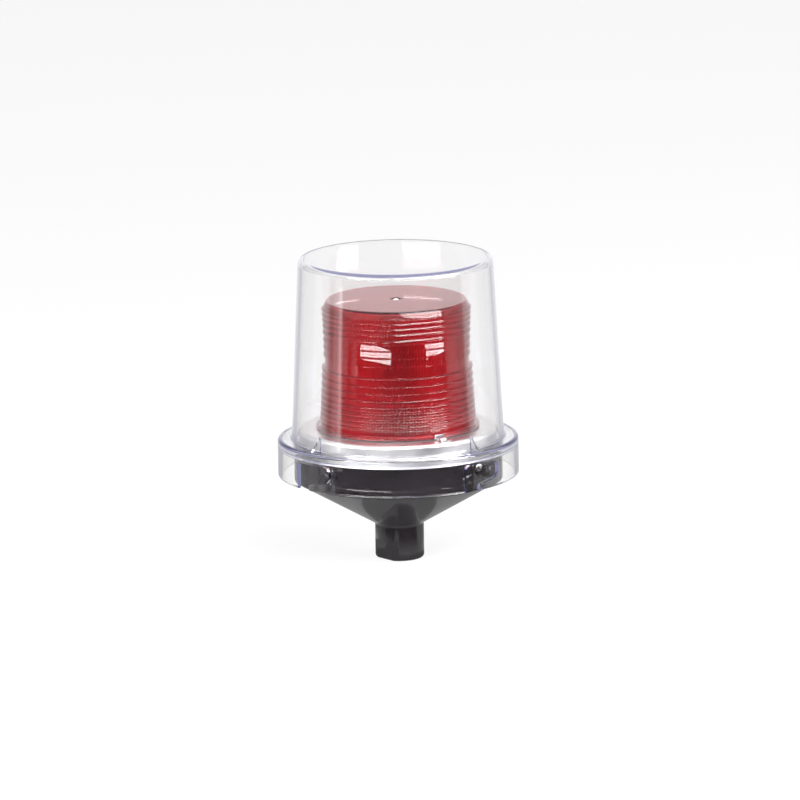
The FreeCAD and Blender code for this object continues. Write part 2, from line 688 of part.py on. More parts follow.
def make_deck_pan():
    """Drawn aluminium pan that stands on the base's step and carries the
    lens, the tube socket and the circuit board."""
    body = turned("deck_pan", [
        ("socket_hole", "deck_under"),
        ("pan_radius - pan_sheet", "deck_under"),
        ("pan_radius - pan_sheet", "ledge_level"),
        ("pan_radius", "ledge_level"),
        ("pan_radius", "deck_level"),
        ("socket_hole", "deck_level"),
    ])
    round_edges(body, "pan_edge", "pan_round", ("pan_radius", "deck_level"))
    round_edges(body, "pan_inner_edge", "pan_round - pan_sheet",
                ("pan_radius - pan_sheet", "deck_under"))
    holes = [
        ("clip", "clip_azimuth", "clip_ring", "clip_count"),
        ("post", "post_azimuth", "post_ring", "post_count"),
        ("ear", "90", "ear_screw", "2"),
        ("earth", "earth_azimuth", "earth_ring", "1"),
    ]
    for name, azimuth, across, count in holes:
        hole = sketch_on(body, name + "_hole_outline", role="XY_Plane", turn=f"{azimuth} - 90",
                         level="deck_level")
        draw_circle(hole, across, "0", "screw_radius + fit_clear")
        one = cut(body, hole, name + "_hole", "pan_sheet + cut_over", forward=False)
        if count != "1":
            ring(body, one, name + "_holes", count)
    pieces.append(body)


def rib_count(room):
    """How many ribs fit between the smooth band and the end of the lens."""
    reach = number("band_half")
    width = number("rib_first")
    count = 0
    while reach + width <= number(room):
        reach += width
        width *= number("rib_ratio")
        count += 1
    return count


def rib_edge(index):
    """Distance of a rib's edge from the focal plane. Rib widths shrink away
    from that plane, as on a Fresnel lens."""
    return f"(band_half + rib_first * (1 - rib_ratio ^ {index}) / (1 - rib_ratio))"


def lens_ribs(side, count, near, far):
    """Corners of the ribs on one side of the smooth band, from the band out.
    side is "+" above the focal plane and "-" below it."""
    corners = []
    for index in range(count):
        tip = f"{near} + ({far} - {near}) * {index} / {count - 1}"
        inner = rib_edge(index)
        outer = rib_edge(index + 1)
        corners.append((f"{tip} - rib_depth", f"focus {side} {inner}"))
        corners.append((tip, f"focus {side} ({inner} * (1 - rib_crest) + {outer} * rib_crest)"))
        corners.append((f"{tip} - rib_depth", f"focus {side} {outer}"))
    return corners


def make_lens():
    """Red Fresnel lens: a closed cup with ribs outside, a smooth band at the
    focal plane, a flange at the foot and a gate dimple on top."""
    upper = rib_count("lens_top - focus - rim_plain")
    lower = rib_count("focus - lens_flange_top - foot_plain")
    above = lens_ribs("+", upper, "upper_near", "upper_far")
    below = lens_ribs("-", lower, "lower_near", "lower_far")
    outline = [
        ("0", "lens_top - gate_depth"),
        ("gate_radius / 2", "lens_top - gate_depth"),
        ("gate_radius", "lens_top"),
        ("lens_disc", "lens_top"),
    ]
    outline += reversed(above)
    outline += [
        ("band_radius", "focus + band_half"),
        ("band_radius", "focus - band_half"),
    ]
    outline += below
    outline += [
        ("lower_far - rib_depth", "lens_flange_top"),
        ("lens_flange", "lens_flange_top"),
        ("lens_flange", "lens_foot"),
        ("lens_inner_foot", "lens_foot"),
        ("lens_inner_top", "lens_top - lens_crown"),
        ("0", "lens_top - lens_crown"),
    ]
    pieces.append(turned("lens", outline))


def make_lens_seal():
    """Foam ring between the lens flange and the deck."""
    pieces.append(turned("lens_seal", [
        ("lens_inner_foot + seal_inset", "deck_level"),
        ("lens_flange - seal_inset", "deck_level"),
        ("lens_flange - seal_inset", "lens_foot"),
        ("lens_inner_foot + seal_inset", "lens_foot"),
    ]))


def make_lens_clips():
    """Bent metal clips that hold the lens flange down."""
    body = new_body("lens_clips")
    strip = sketch_on(body, "clip_outline", turn="clip_azimuth - 90")
    draw(strip, [
        ("lens_flange + clip_gap", "deck_level"),
        ("lens_flange + clip_gap + clip_sheet + clip_reach", "deck_level"),
        ("lens_flange + clip_gap + clip_sheet + clip_reach", "deck_level + clip_sheet"),
        ("lens_flange + clip_gap + clip_sheet", "deck_level + clip_sheet"),
        ("lens_flange + clip_gap + clip_sheet", "clip_under + clip_sheet"),
        ("lens_flange - clip_grip", "clip_under + clip_sheet"),
        ("lens_flange - clip_grip", "clip_under"),
        ("lens_flange + clip_gap", "clip_under"),
    ])
    clip = pad(body, strip, "clip", "clip_width", middle=True)
    ring(body, clip, "clips", "clip_count")
    hole = sketch_on(body, "clip_hole_outline", role="XY_Plane", turn="clip_azimuth - 90",
                     level="deck_level + clip_sheet")
    draw_circle(hole, "clip_ring", "0", "screw_radius + fit_clear")
    one = cut(body, hole, "clip_hole", "clip_sheet + cut_over", forward=False)
    ring(body, one, "clip_holes", "clip_count")
    pieces.append(body)


def make_screw_set(label, azimuth, across, seat, count, up=1, head="head_radius"):
    """Round-headed screws standing on the same level."""
    body = new_body(label)
    one = spindle(body, label, f"({azimuth}) * 1 deg", across,
                  screw_outline(seat, head, "head_tall", "screw_radius", "screw_length", up))
    if count != "1":
        ring(body, one, label + "_ring", count)
    pieces.append(body)


def make_tube_socket():
    """Black socket through the deck, with a flange for its two screws."""
    body = turned("tube_socket", [
        ("0", "deck_level - socket_drop"),
        ("socket_hole - pan_clear", "deck_level - socket_drop"),
        ("socket_hole - pan_clear", "deck_level"),
        ("socket_radius", "deck_level"),
        ("socket_radius", "socket_top"),
        ("0", "socket_top"),
    ])
    round_edges(body, "socket_edge", "socket_round", ("socket_radius", "socket_top"))
    ear = sketch_on(body, "ear_outline", role="XY_Plane", level="deck_level")
    draw(ear, [
        ("-socket_ear + ear_half", "-ear_half"),
        ("socket_ear - ear_half", "-ear_half", "ear_half"),
        ("socket_ear", "0", "ear_half"),
        ("socket_ear - ear_half", "ear_half"),
        ("-socket_ear + ear_half", "ear_half", "ear_half"),
        ("-socket_ear", "0", "ear_half"),
    ])
    pad(body, ear, "socket_ears", "ear_thick")
    screw = sketch_on(body, "ear_hole_outline", role="XY_Plane", level="deck_level + ear_thick")
    draw_circle(screw, "ear_screw", "0", "screw_radius + fit_clear")
    ring(body, cut(body, screw, "ear_hole", "ear_thick + cut_over", forward=False), "ear_holes", "2")
    pin = sketch_on(body, "pin_hole_outline", role="XY_Plane", level="socket_top")
    draw_circle(pin, "pin_ring", "0", "pin_radius + fit_clear")
    hole = cut(body, pin, "pin_hole", "pin_length + hole_over", forward=False)
    ring(body, hole, "pin_holes", "pin_count")
    pieces.append(body)


def make_flash_tube():
    """Plug-in xenon tube: a bent glass tube with metal end caps and a trigger
    wire, on a plug with contact pins, under a glass cover."""
    plug = turned("tube_plug", [
        ("0", "socket_top"),
        ("plug_radius", "socket_top"),
        ("plug_radius", "plug_top - cover_seat"),
        ("plug_radius - envelope_wall - cover_gap", "plug_top - cover_seat"),
        ("plug_radius - envelope_wall - cover_gap", "plug_top"),
        ("0", "plug_top"),
    ])
    round_edges(plug, "plug_edge", "plug_round", ("plug_radius", "socket_top"))
    pieces.append(plug)

    pins = new_body("tube_pins")
    pin = sketch_on(pins, "pin_outline", role="XY_Plane", level="socket_top")
    draw_circle(pin, "pin_ring", "0", "pin_radius")
    one = pad(pins, pin, "pin", "pin_length")
    one.Reversed = True
    doc.recompute()
    ring(pins, one, "pins", "pin_count")
    pieces.append(pins)

    legs = []
    for side in ("-", ""):
        leg = primitive("Cylinder", "tube_leg" + ("_left" if side else "_right"),
                        {"Radius": "tube_radius", "Height": "tube_leg"},
                        {"x": f"{side}tube_half", "z": "plug_top + cap_tall"})
        legs.append(leg)
    bend = primitive("Torus", "tube_bend", {"Radius1": "tube_half", "Radius2": "tube_radius"},
                     {"z": "bend_level"})
    bend.Angle3 = 180
    bend.Placement = Placement(bend.Placement.Base, Rotation(Vector(1, 0, 0), 90))
    pieces.append(combine("Fuse", "flash_tube", legs + [bend]))

    caps = new_body("tube_end_caps")
    for side in ("-", ""):
        word = "left" if side else "right"
        cap = sketch_on(caps, word + "_cap_outline", role="XY_Plane", level="plug_top")
        draw_circle(cap, f"{side}tube_half", "0", "tube_radius + cap_wall")
        pad(caps, cap, word + "_cap", "cap_tall")
    pieces.append(caps)

    collars = []
    links = []
    levels = [f"plug_top + cap_tall + tube_leg * {share}" for share in ("0.25", "0.5", "0.75")]
    for level in levels:
        for side in ("-", ""):
            collars.append(primitive("Cylinder", f"trigger_collar_{len(collars)}",
                                     {"Radius": "tube_radius + fit_clear + wire_radius",
                                      "Height": "2 * wire_radius"},
                                     {"x": f"{side}tube_half", "z": level}))
        links.append(primitive("Box", f"trigger_link_{len(links)}",
                               {"Length": "2 * tube_half", "Width": "2 * wire_radius",
                                "Height": "2 * wire_radius"},
                               {"x": "-tube_half", "y": "-wire_radius", "z": level}))
    stem = primitive("Box", "trigger_stem",
                     {"Length": "2 * wire_radius", "Width": "2 * wire_radius",
                      "Height": "cap_tall + tube_leg * 0.75"},
                     {"x": "-wire_radius", "y": "-wire_radius", "z": "plug_top"})
    bores = []
    for side in ("-", ""):
        bores.append(primitive("Cylinder", f"trigger_bore_{len(bores)}",
                               {"Radius": "tube_radius + fit_clear", "Height": "tube_leg + cap_tall"},
                               {"x": f"{side}tube_half", "z": "plug_top + cap_tall / 2"}))
    wire = combine("Fuse", "trigger_wire_blank", collars + links + [stem])
    pieces.append(combine("Cut", "trigger_wire", (wire, combine("Fuse", "trigger_bores", bores))))

    cover = turned("tube_cover", [
        ("plug_radius - envelope_wall", "plug_top - cover_seat"),
        ("plug_radius", "plug_top - cover_seat"),
        ("plug_radius", "cover_top - plug_radius", "plug_radius"),
        ("0", "cover_top"),
        ("0", "cover_top - envelope_wall", "-(plug_radius - envelope_wall)"),
        ("plug_radius - envelope_wall", "cover_top - plug_radius"),
    ])
    pieces.append(cover)


def make_board():
    """Round circuit board, its pillars and what it carries."""
    board = turned("circuit_board", [
        ("0", "board_under"),
        ("board_radius", "board_under"),
        ("board_radius", "board_top"),
        ("0", "board_top"),
    ])
    hole = sketch_on(board, "pillar_hole_outline", role="XY_Plane", turn="pillar_azimuth - 90",
                     level="board_top")
    draw_circle(hole, "pillar_ring", "0", "screw_radius + fit_clear")
    one = cut(board, hole, "pillar_hole", "board_thick + cut_over", forward=False)
    ring(board, one, "pillar_holes", "pillar_count")
    pieces.append(board)

    pillars = new_body("board_pillars")
    outline = sketch_on(pillars, "pillar_outline", role="XY_Plane", turn="pillar_azimuth - 90",
                        level="board_top")
    corners = []
    for step in range(6):
        angle = f"({step} * 60 + 30) * 1 deg"
        corners.append((f"pillar_ring + pillar_radius * cos({angle})", f"pillar_radius * sin({angle})"))
    draw(outline, corners)
    pillar = pad(pillars, outline, "pillar", "board_drop")
    ring(pillars, pillar, "pillars", "pillar_count")
    bore = sketch_on(pillars, "pillar_bore_outline", role="XY_Plane", turn="pillar_azimuth - 90",
                     level="board_top")
    draw_circle(bore, "pillar_ring", "0", "screw_radius + fit_clear")
    one = cut(pillars, bore, "pillar_bore", "screw_length")
    ring(pillars, one, "pillar_bores", "pillar_count")
    pieces.append(pillars)

    can = primitive("Cylinder", "storage_capacitor_can",
                    {"Radius": "can_radius", "Height": "can_length"},
                    {"x": "-can_length / 2", "y": "can_back", "z": "hang_level - can_radius"})
    can.Placement = Placement(can.Placement.Base, Rotation(Vector(0, 1, 0), 90))
    doc.recompute()
    edged = doc.addObject("Part::Fillet", "storage_capacitor")
    edged.Base = can
    rounding = number("can_round")
    edged.Edges = [(index, rounding, rounding)
                   for index, edge in enumerate(can.Shape.Edges, start=1)
                   if isinstance(edge.Curve, Part.Circle)]
    edged.Label = "storage_capacitor"
    pieces.append(edged)

    core_box = primitive("Box", "core_block",
                         {"Length": "core_width", "Width": "core_deep", "Height": "core_tall"},
                         {"x": "-core_width / 2", "y": "-core_front - core_deep / 2",
                          "z": "hang_level - core_tall"})
    windows = []
    for side, place in (("left", "-core_width / 2 + core_limb"), ("right", "core_limb / 2")):
        window = primitive("Box", "core_window_" + side,
                           {"Length": "core_width / 2 - core_limb * 1.5",
                            "Width": "core_deep + 2 * cut_over",
                            "Height": "core_tall - 2 * core_limb"},
                           {"x": place, "y": "-core_front - core_deep / 2 - cut_over",
                            "z": "hang_level - core_tall + core_limb"})
        windows.append(window)
    pieces.append(combine("Cut", "transformer_core", (core_box, combine("Fuse", "core_windows", windows))))

    coil_box = primitive("Box", "coil_block",
                         {"Length": "core_width - 2 * core_limb - 2 * coil_gap",
                          "Width": "coil_deep",
                          "Height": "core_tall - 2 * core_limb - 2 * coil_gap"},
                         {"x": "-core_width / 2 + core_limb + coil_gap", "y": "-core_front - coil_deep / 2",
                          "z": "hang_level - core_tall + core_limb + coil_gap"})
    coil_hole = primitive("Box", "coil_hole",
                          {"Length": "core_limb + 2 * coil_gap",
                           "Width": "core_deep + 2 * coil_gap",
                           "Height": "core_tall"},
                          {"x": "-core_limb / 2 - coil_gap", "y": "-core_front - core_deep / 2 - coil_gap",
                           "z": "hang_level - core_tall"})
    pieces.append(combine("Cut", "transformer_winding", (coil_box, coil_hole)))

    trigger = primitive("Cylinder", "trigger_coil",
                        {"Radius": "trigger_radius", "Height": "trigger_tall"},
                        {"x": "board_radius / 2", "z": "stand_level"})
    pieces.append(trigger)

    sink_base = primitive("Box", "sink_plate",
                          {"Length": "sink_width", "Width": "sink_deep / 4", "Height": "sink_tall"},
                          {"x": "-sink_width / 2", "y": "sink_back", "z": "stand_level"})
    fins = [sink_base]
    for index in range(int(number("fin_count"))):
        place = f"-sink_width / 2 + {index} * (sink_width - fin_thick) / (fin_count - 1)"
        fin = primitive("Box", f"sink_fin_{index}",
                        {"Length": "fin_thick", "Width": "sink_deep", "Height": "sink_tall"},
                        {"x": place, "y": "sink_back", "z": "stand_level"})
        fins.append(fin)
    pieces.append(combine("Fuse", "heat_sink", fins))
    pieces.append(primitive("Box", "power_transistor",
                            {"Length": "transistor_width", "Width": "transistor_deep",
                             "Height": "sink_tall - transistor_step"},
                            {"x": "-transistor_width / 2", "y": "sink_back - transistor_deep",
                             "z": "stand_level"}))


def make_terminal_block():
    """Three-way screw terminal under the board for the supply leads."""
    block = primitive("Box", "terminal_body",
                      {"Length": "block_deep", "Width": "block_pitch * block_ways",
                       "Height": "block_tall"},
                      {"x": "-block_side - block_deep / 2", "y": "-block_pitch * block_ways / 2",
                       "z": "hang_level - block_tall"})
    mouths = []
    screws = []
    for index in range(int(number("block_ways"))):
        middle = f"(-block_pitch * block_ways / 2 + ({index} + 0.5) * block_pitch)"
        mouth = primitive("Box", f"terminal_mouth_{index}",
                          {"Length": "mouth_deep + cut_over",
                           "Width": "block_pitch * mouth_share",
                           "Height": "mouth_tall"},
                          {"x": "-block_side - block_deep / 2 - cut_over",
                           "y": f"{middle} - block_pitch * mouth_share / 2",
                           "z": "hang_level - block_tall + mouth_rise"})
        well = primitive("Cylinder", f"terminal_well_{index}",
                         {"Radius": "screw_radius + well_rim", "Height": "well_deep + cut_over"},
                         {"x": "-block_side + block_deep / 6", "y": middle,
                          "z": "hang_level - block_tall - cut_over"})
        mouths += [mouth, well]
        screw = primitive("Cylinder", f"terminal_screw_{index}",
                          {"Radius": "screw_radius + well_rim / 2", "Height": "clamp_tall"},
                          {"x": "-block_side + block_deep / 6", "y": middle,
                           "z": "hang_level - block_tall + well_deep - clamp_tall"})
        screws.append(screw)
    hollow = combine("Fuse", "terminal_mouths", mouths)
    pieces.append(combine("Cut", "terminal_block", (block, hollow)))
    group = doc.addObject("Part::Compound", "terminal_screws")
    group.Links = screws
    group.Label = "terminal_screws"
    pieces.append(group)


def make_socket_leads():
    """Three insulated leads from the socket straight down to the board."""
    leads = new_body("socket_leads")
    lead = sketch_on(leads, "lead_outline", role="XY_Plane", level="board_top")
    draw_circle(lead, "pin_ring / 2", "0", "lead_radius")
    one = pad(leads, lead, "lead", "deck_level - socket_drop - board_top")
    ring(leads, one, "leads", "3")
    pieces.append(leads)


make_base_housing()
make_bayonet_lugs()
make_lock_screw()
make_dome_gasket()
make_guard_dome()
make_deck_pan()
make_screw_set("deck_screws", "post_azimuth", "post_ring", "deck_level", "post_count")
make_lens()
make_lens_seal()
make_lens_clips()
make_screw_set("lens_screws", "clip_azimuth", "clip_ring", "deck_level + clip_sheet", "clip_count")
make_tube_socket()
make_screw_set("socket_screws", "90", "ear_screw", "deck_level + ear_thick", "2")
make_flash_tube()
make_board()
make_screw_set("board_screws", "pillar_azimuth", "pillar_ring", "board_under", "pillar_count", up=-1)
make_terminal_block()
make_socket_leads()
make_screw_set("earth_screw", "earth_azimuth", "earth_ring", "deck_level", "1")
doc.recompute()

for item in doc.Objects:
    if "Invalid" in item.State or "Error" in item.State:
        raise RuntimeError(f"{item.Label}: {item.State}")
os.makedirs("parts", exist_ok=True)
for piece in pieces:
    shape = piece.Shape
    if shape.isNull() or not shape.isValid():
        raise RuntimeError(piece.Label + " has no sound shape")
for piece in pieces:
    piece.Shape.exportStep(f"parts/{piece.Label}.step")
    print(f"{piece.Label}: {len(piece.Shape.Solids)} solids, {piece.Shape.Volume:.0f} mm3")
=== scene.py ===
# %% [markdown]
# # Strobe warning light under a clear guard dome
#
# The real object is a red ribbed lens on a pale metal deck. The deck sits in a
# black conical base with a pipe thread, and a clear dome is twisted onto the
# base over four round lugs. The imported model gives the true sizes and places.
# This lesson adds the looks: smooth clear plastic, a real rib profile on the
# lens, machined and moulded surfaces, and studio light.

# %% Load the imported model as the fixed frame
import math

import bpy
from mathutils import Matrix, Vector


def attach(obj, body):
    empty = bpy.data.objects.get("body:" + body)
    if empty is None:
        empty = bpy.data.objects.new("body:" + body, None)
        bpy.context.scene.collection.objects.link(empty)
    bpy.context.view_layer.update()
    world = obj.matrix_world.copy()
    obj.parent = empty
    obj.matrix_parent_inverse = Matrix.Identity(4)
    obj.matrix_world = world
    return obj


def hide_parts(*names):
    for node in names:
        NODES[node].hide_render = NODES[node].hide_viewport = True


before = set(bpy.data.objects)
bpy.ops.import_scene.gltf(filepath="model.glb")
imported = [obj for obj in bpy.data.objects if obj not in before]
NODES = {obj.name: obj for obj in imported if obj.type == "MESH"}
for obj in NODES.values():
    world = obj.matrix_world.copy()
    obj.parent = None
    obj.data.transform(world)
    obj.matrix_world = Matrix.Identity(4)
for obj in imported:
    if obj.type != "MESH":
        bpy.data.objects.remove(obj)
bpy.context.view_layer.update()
print("CAD nodes:", len(NODES))

# %% [markdown]
# Blender works in metres and workshop drawings in millimetres. Every size
# below is written in millimetres and multiplied by MM, so that it can be
# compared with a ruler. Azimuths are counted from the front of the light,
# positive to the right as the camera sees it.

# %% Units and shared sizes
MM = 0.001
FULL_TURN = 2 * math.pi
UP = Vector((0, 0, 1))

FLANGE_RADIUS = 85.0
FLANGE_UNDER = 81.3
FLANGE_TOP = 88.0
SKIRT_LOW = 61.0
SKIRT_WALL = 3.0
DECK_LEVEL = 95.1
LENS_FOOT = 95.9
LENS_FLANGE = 2.0
LENS_TOP = 186.2
FOCUS = 143.1


def around(radius, azimuth, level):
    """A place in metres from a radius and level in mm and an azimuth in degrees."""
    angle = math.radians(azimuth)
    return Vector((radius * math.sin(angle), -radius * math.cos(angle), level)) * MM


# %% [markdown]
# The camera comes first, because every look is judged through it. The
# photograph was taken from far away with a long lens: the top and the bottom
# of the dome open almost equally. So the camera stands 6 m away, 12 degrees
# above the horizon, and it is rolled by a degree because the light leans a
# little in the photograph.

# %% Camera
CAMERA_DISTANCE = 6.0
CAMERA_ELEVATION = 12.0
CAMERA_ROLL = -0.9
VIEW_WIDTH = 0.564
SENSOR = 36.0
AIM_RIGHT = 0.00176
AIM_LEVEL = 0.1131

aim = Vector((AIM_RIGHT, 0.0, AIM_LEVEL))
camera_data = bpy.data.cameras.new("long_lens")
camera_data.sensor_width = SENSOR
camera_data.lens = SENSOR * CAMERA_DISTANCE / VIEW_WIDTH
camera_data.clip_end = 100.0
camera = bpy.data.objects.new("long_lens", camera_data)
bpy.context.scene.collection.objects.link(camera)
tilt = math.radians(CAMERA_ELEVATION)
back = Vector((0, -math.cos(tilt), math.sin(tilt)))
camera.location = aim + back * CAMERA_DISTANCE
facing = (-back).to_track_quat("-Z", "Y").to_matrix().to_4x4()
camera.matrix_world = (Matrix.Translation(camera.location) @ facing
                       @ Matrix.Rotation(math.radians(CAMERA_ROLL), 4, "Z"))
bpy.context.scene.camera = camera
print("camera lens:", round(camera_data.lens), "mm")

# %% [markdown]
# A material is a small graph of nodes. These helpers keep each finish short:
# one starts a material, one gives the place of a surface point on the object,
# and three add what real surfaces have, which is a fine relief, a roughness
# that wanders, and a colour that isn't the same all over.

# %% Material helpers


def add_node(tree, kind, **settings):
    node = tree.nodes.new(kind)
    for name, value in settings.items():
        setattr(node, name, value)
    return node


def new_material(name, colour, roughness=0.4, metallic=0.0):
    material = bpy.data.materials.new(name)
    material.use_nodes = True
    tree = material.node_tree
    shader = tree.nodes["Principled BSDF"]
    shader.inputs["Base Color"].default_value = (*colour, 1.0)
    shader.inputs["Roughness"].default_value = roughness
    shader.inputs["Metallic"].default_value = metallic
    return material, tree, shader


def object_place(tree, scale=(1, 1, 1)):
    """The surface point in the object's own coordinates, scaled."""
    where = add_node(tree, "ShaderNodeTexCoord")
    mapping = add_node(tree, "ShaderNodeMapping")
    mapping.inputs["Scale"].default_value = scale
    tree.links.new(where.outputs["Object"], mapping.inputs["Vector"])
    return mapping.outputs["Vector"]


def noise(tree, per_metre, detail=3.0, scale=(1, 1, 1)):
    texture = add_node(tree, "ShaderNodeTexNoise")
    texture.inputs["Scale"].default_value = per_metre
    texture.inputs["Detail"].default_value = detail
    tree.links.new(object_place(tree, scale), texture.inputs["Vector"])
    return texture.outputs["Fac"]


def spread(tree, value, low, high, start=0.3, end=0.7):
    """Maps a texture value to a range."""
    span = add_node(tree, "ShaderNodeMapRange")
    span.inputs["From Min"].default_value = start
    span.inputs["From Max"].default_value = end
    span.inputs["To Min"].default_value = low
    span.inputs["To Max"].default_value = high
    tree.links.new(value, span.inputs["Value"])
    return span.outputs["Result"]


def add_relief(tree, shader, height, depth_mm, strength=1.0):
    bump = add_node(tree, "ShaderNodeBump")
    bump.inputs["Strength"].default_value = strength
    bump.inputs["Distance"].default_value = depth_mm * MM
    tree.links.new(height, bump.inputs["Height"])
    tree.links.new(bump.outputs["Normal"], shader.inputs["Normal"])


def wander_roughness(tree, shader, low, high, per_metre=60.0):
    tree.links.new(spread(tree, noise(tree, per_metre), low, high), shader.inputs["Roughness"])


def wander_colour(tree, shader, first, second, per_metre=40.0):
    mix = add_node(tree, "ShaderNodeMix", data_type="RGBA")
    mix.inputs["A"].default_value = (*first, 1.0)
    mix.inputs["B"].default_value = (*second, 1.0)
    tree.links.new(spread(tree, noise(tree, per_metre), 0.0, 1.0), mix.inputs["Factor"])
    tree.links.new(mix.outputs["Result"], shader.inputs["Base Color"])


def radius_value(tree):
    """Distance of the surface point from the upright axis, in metres."""
    split = add_node(tree, "ShaderNodeSeparateXYZ")
    tree.links.new(object_place(tree), split.inputs["Vector"])
    flat = add_node(tree, "ShaderNodeCombineXYZ")
    tree.links.new(split.outputs["X"], flat.inputs["X"])
    tree.links.new(split.outputs["Y"], flat.inputs["Y"])
    length = add_node(tree, "ShaderNodeVectorMath", operation="LENGTH")
    tree.links.new(flat.outputs["Vector"], length.inputs[0])
    return length.outputs["Value"]


def angle_value(tree):
    """Direction of the surface point round the upright axis, in radians."""
    split = add_node(tree, "ShaderNodeSeparateXYZ")
    tree.links.new(object_place(tree), split.inputs["Vector"])
    arc = add_node(tree, "ShaderNodeMath", operation="ARCTAN2")
    tree.links.new(split.outputs["Y"], arc.inputs[0])
    tree.links.new(split.outputs["X"], arc.inputs[1])
    return arc.outputs["Value"]


def math_node(tree, operation, first, second=None):
    node = add_node(tree, "ShaderNodeMath", operation=operation)
    for place, value in enumerate((first, second)):
        if value is None:
            continue
        if isinstance(value, (int, float)):
            node.inputs[place].default_value = value
        else:
            tree.links.new(value, node.inputs[place])
    return node.outputs["Value"]


print("material helpers ready")

# %% [markdown]
# Clear and red plastic let light through. Cycles would darken everything
# behind a refracting shell, because lamps can't be found through it, so shadow
# rays get a Transparent shader instead. The eye still sees the refracting one.
# Light that is caught in a wall and bounces along inside it would turn black
# when its bounces are used up. After three of them it is let out, tinted. The
# lens also has a gloss coat, which makes the highlights on it stand out.

# %% See-through finishes
CAUGHT_AFTER = 2.5
CLEAR_IOR = 1.58
RED_IOR = 1.5
RED = (0.69, 0.052, 0.076)
RED_SHADOW = (0.80, 0.42, 0.43)
RED_COAT = 0.6
FLUTES = 150


def see_through(name, colour, shadow_colour, roughness, ior, caught_colour):
    material, tree, shader = new_material(name, colour, roughness)
    shader.inputs["Transmission Weight"].default_value = 1.0
    shader.inputs["IOR"].default_value = ior
    path = add_node(tree, "ShaderNodeLightPath")
    caught = math_node(tree, "GREATER_THAN", path.outputs["Glossy Depth"], CAUGHT_AFTER)
    closure = shader.outputs["BSDF"]
    let_out = ((caught, caught_colour), (path.outputs["Is Shadow Ray"], shadow_colour))
    for amount, passing in let_out:
        clear = add_node(tree, "ShaderNodeBsdfTransparent")
        clear.inputs["Color"].default_value = (*passing, 1.0)
        mix = add_node(tree, "ShaderNodeMixShader")
        tree.links.new(amount, mix.inputs["Fac"])
        tree.links.new(closure, mix.inputs[1])
        tree.links.new(clear.outputs["BSDF"], mix.inputs[2])
        closure = mix.outputs["Shader"]
    tree.links.new(closure, tree.nodes["Material Output"].inputs["Surface"])
    return material, tree, shader


def tint_by_depth(tree, colour, density):
    """Light that runs a long way inside the plastic takes up its tint."""
    absorb = add_node(tree, "ShaderNodeVolumeAbsorption")
    absorb.inputs["Color"].default_value = (*colour, 1.0)
    absorb.inputs["Density"].default_value = density
    tree.links.new(absorb.outputs["Volume"], tree.nodes["Material Output"].inputs["Volume"])


clear_plastic, tree, shader = see_through(
    "clear_polycarbonate", (0.985, 0.98, 0.975), (0.93, 0.93, 0.94),
    0.0, CLEAR_IOR, (0.32, 0.32, 0.50))
add_relief(tree, shader, noise(tree, 18.0, 1.0), 0.25, 0.25)
tint_by_depth(tree, (0.30, 0.28, 0.65), 6.0)

red_plastic, tree, shader = see_through("red_acrylic", RED, RED_SHADOW, 0.03, RED_IOR, RED)
shader.inputs["Coat Weight"].default_value = RED_COAT
add_relief(tree, shader, noise(tree, 60.0, 1.0), 0.10, 0.15)

# The inside wall of the lens has fine upright flutes that spread the flash.
red_fluted, tree, shader = see_through("red_acrylic_fluted", RED, RED_SHADOW, 0.48, RED_IOR, RED)
wave = math_node(tree, "SINE", math_node(tree, "MULTIPLY", angle_value(tree), FLUTES))
add_relief(tree, shader, spread(tree, wave, 0.0, 1.0, -1.0, 1.0), 0.2, 0.35)
print("see-through finishes: clear, red, red with", FLUTES, "flutes")

# %% [markdown]
# The base is a black glossy moulding. Such a surface is never quite even: it
# has faint waves from the mould and a roughness that changes in patches. The
# deck is turned aluminium, so its relief runs in rings round the axis.

# %% Opaque finishes of the visible parts
RING_PITCH = 0.55

black_moulding, tree, shader = new_material("black_moulding", (0.011, 0.010, 0.011), 0.08)
shader.inputs["Specular IOR Level"].default_value = 0.9
wander_roughness(tree, shader, 0.05, 0.11, 45.0)
wander_colour(tree, shader, (0.009, 0.008, 0.009), (0.014, 0.012, 0.014), 30.0)
add_relief(tree, shader, noise(tree, 700.0, 2.0), 0.012, 0.2)

lug_black, tree, shader = new_material("lug_black", (0.02, 0.018, 0.02), 0.25)
wander_roughness(tree, shader, 0.18, 0.35, 200.0)
add_relief(tree, shader, noise(tree, 1500.0, 2.0), 0.03, 0.4)

deck_metal, tree, shader = new_material("deck_aluminium", (0.80, 0.80, 0.79), 0.3, 1.0)
phase = math_node(tree, "MULTIPLY", radius_value(tree), FULL_TURN / (RING_PITCH * MM))
rings = math_node(tree, "SINE", phase)
ring_noise = math_node(tree, "MULTIPLY", rings, noise(tree, 300.0, 3.0))
add_relief(tree, shader, ring_noise, 0.012, 0.5)
wander_roughness(tree, shader, 0.26, 0.42, 35.0)
wander_colour(tree, shader, (0.78, 0.78, 0.77), (0.86, 0.86, 0.85), 25.0)

bright_steel, tree, shader = new_material("bright_steel", (0.75, 0.74, 0.72), 0.18, 1.0)
wander_roughness(tree, shader, 0.12, 0.3, 400.0)
add_relief(tree, shader, noise(tree, 2500.0, 2.0), 0.015, 0.4)

seal_rubber, tree, shader = new_material("seal_rubber", (0.03, 0.03, 0.032), 0.75)
wander_roughness(tree, shader, 0.65, 0.85, 150.0)
add_relief(tree, shader, noise(tree, 1800.0, 3.0), 0.06, 0.6)
print("opaque finishes: moulding, lug, deck, steel, rubber")

# %% [markdown]
# Behind the lens and under the deck are the parts that make the flash. They
# are hardly seen, but anyone who takes the light apart sees them, so each has
# its own finish: copper tracks on the board, stacked sheets in the core, wound
# wire on the coils and glass on the tube.

# %% Finishes of the inner parts
GLASS_IOR = 1.47

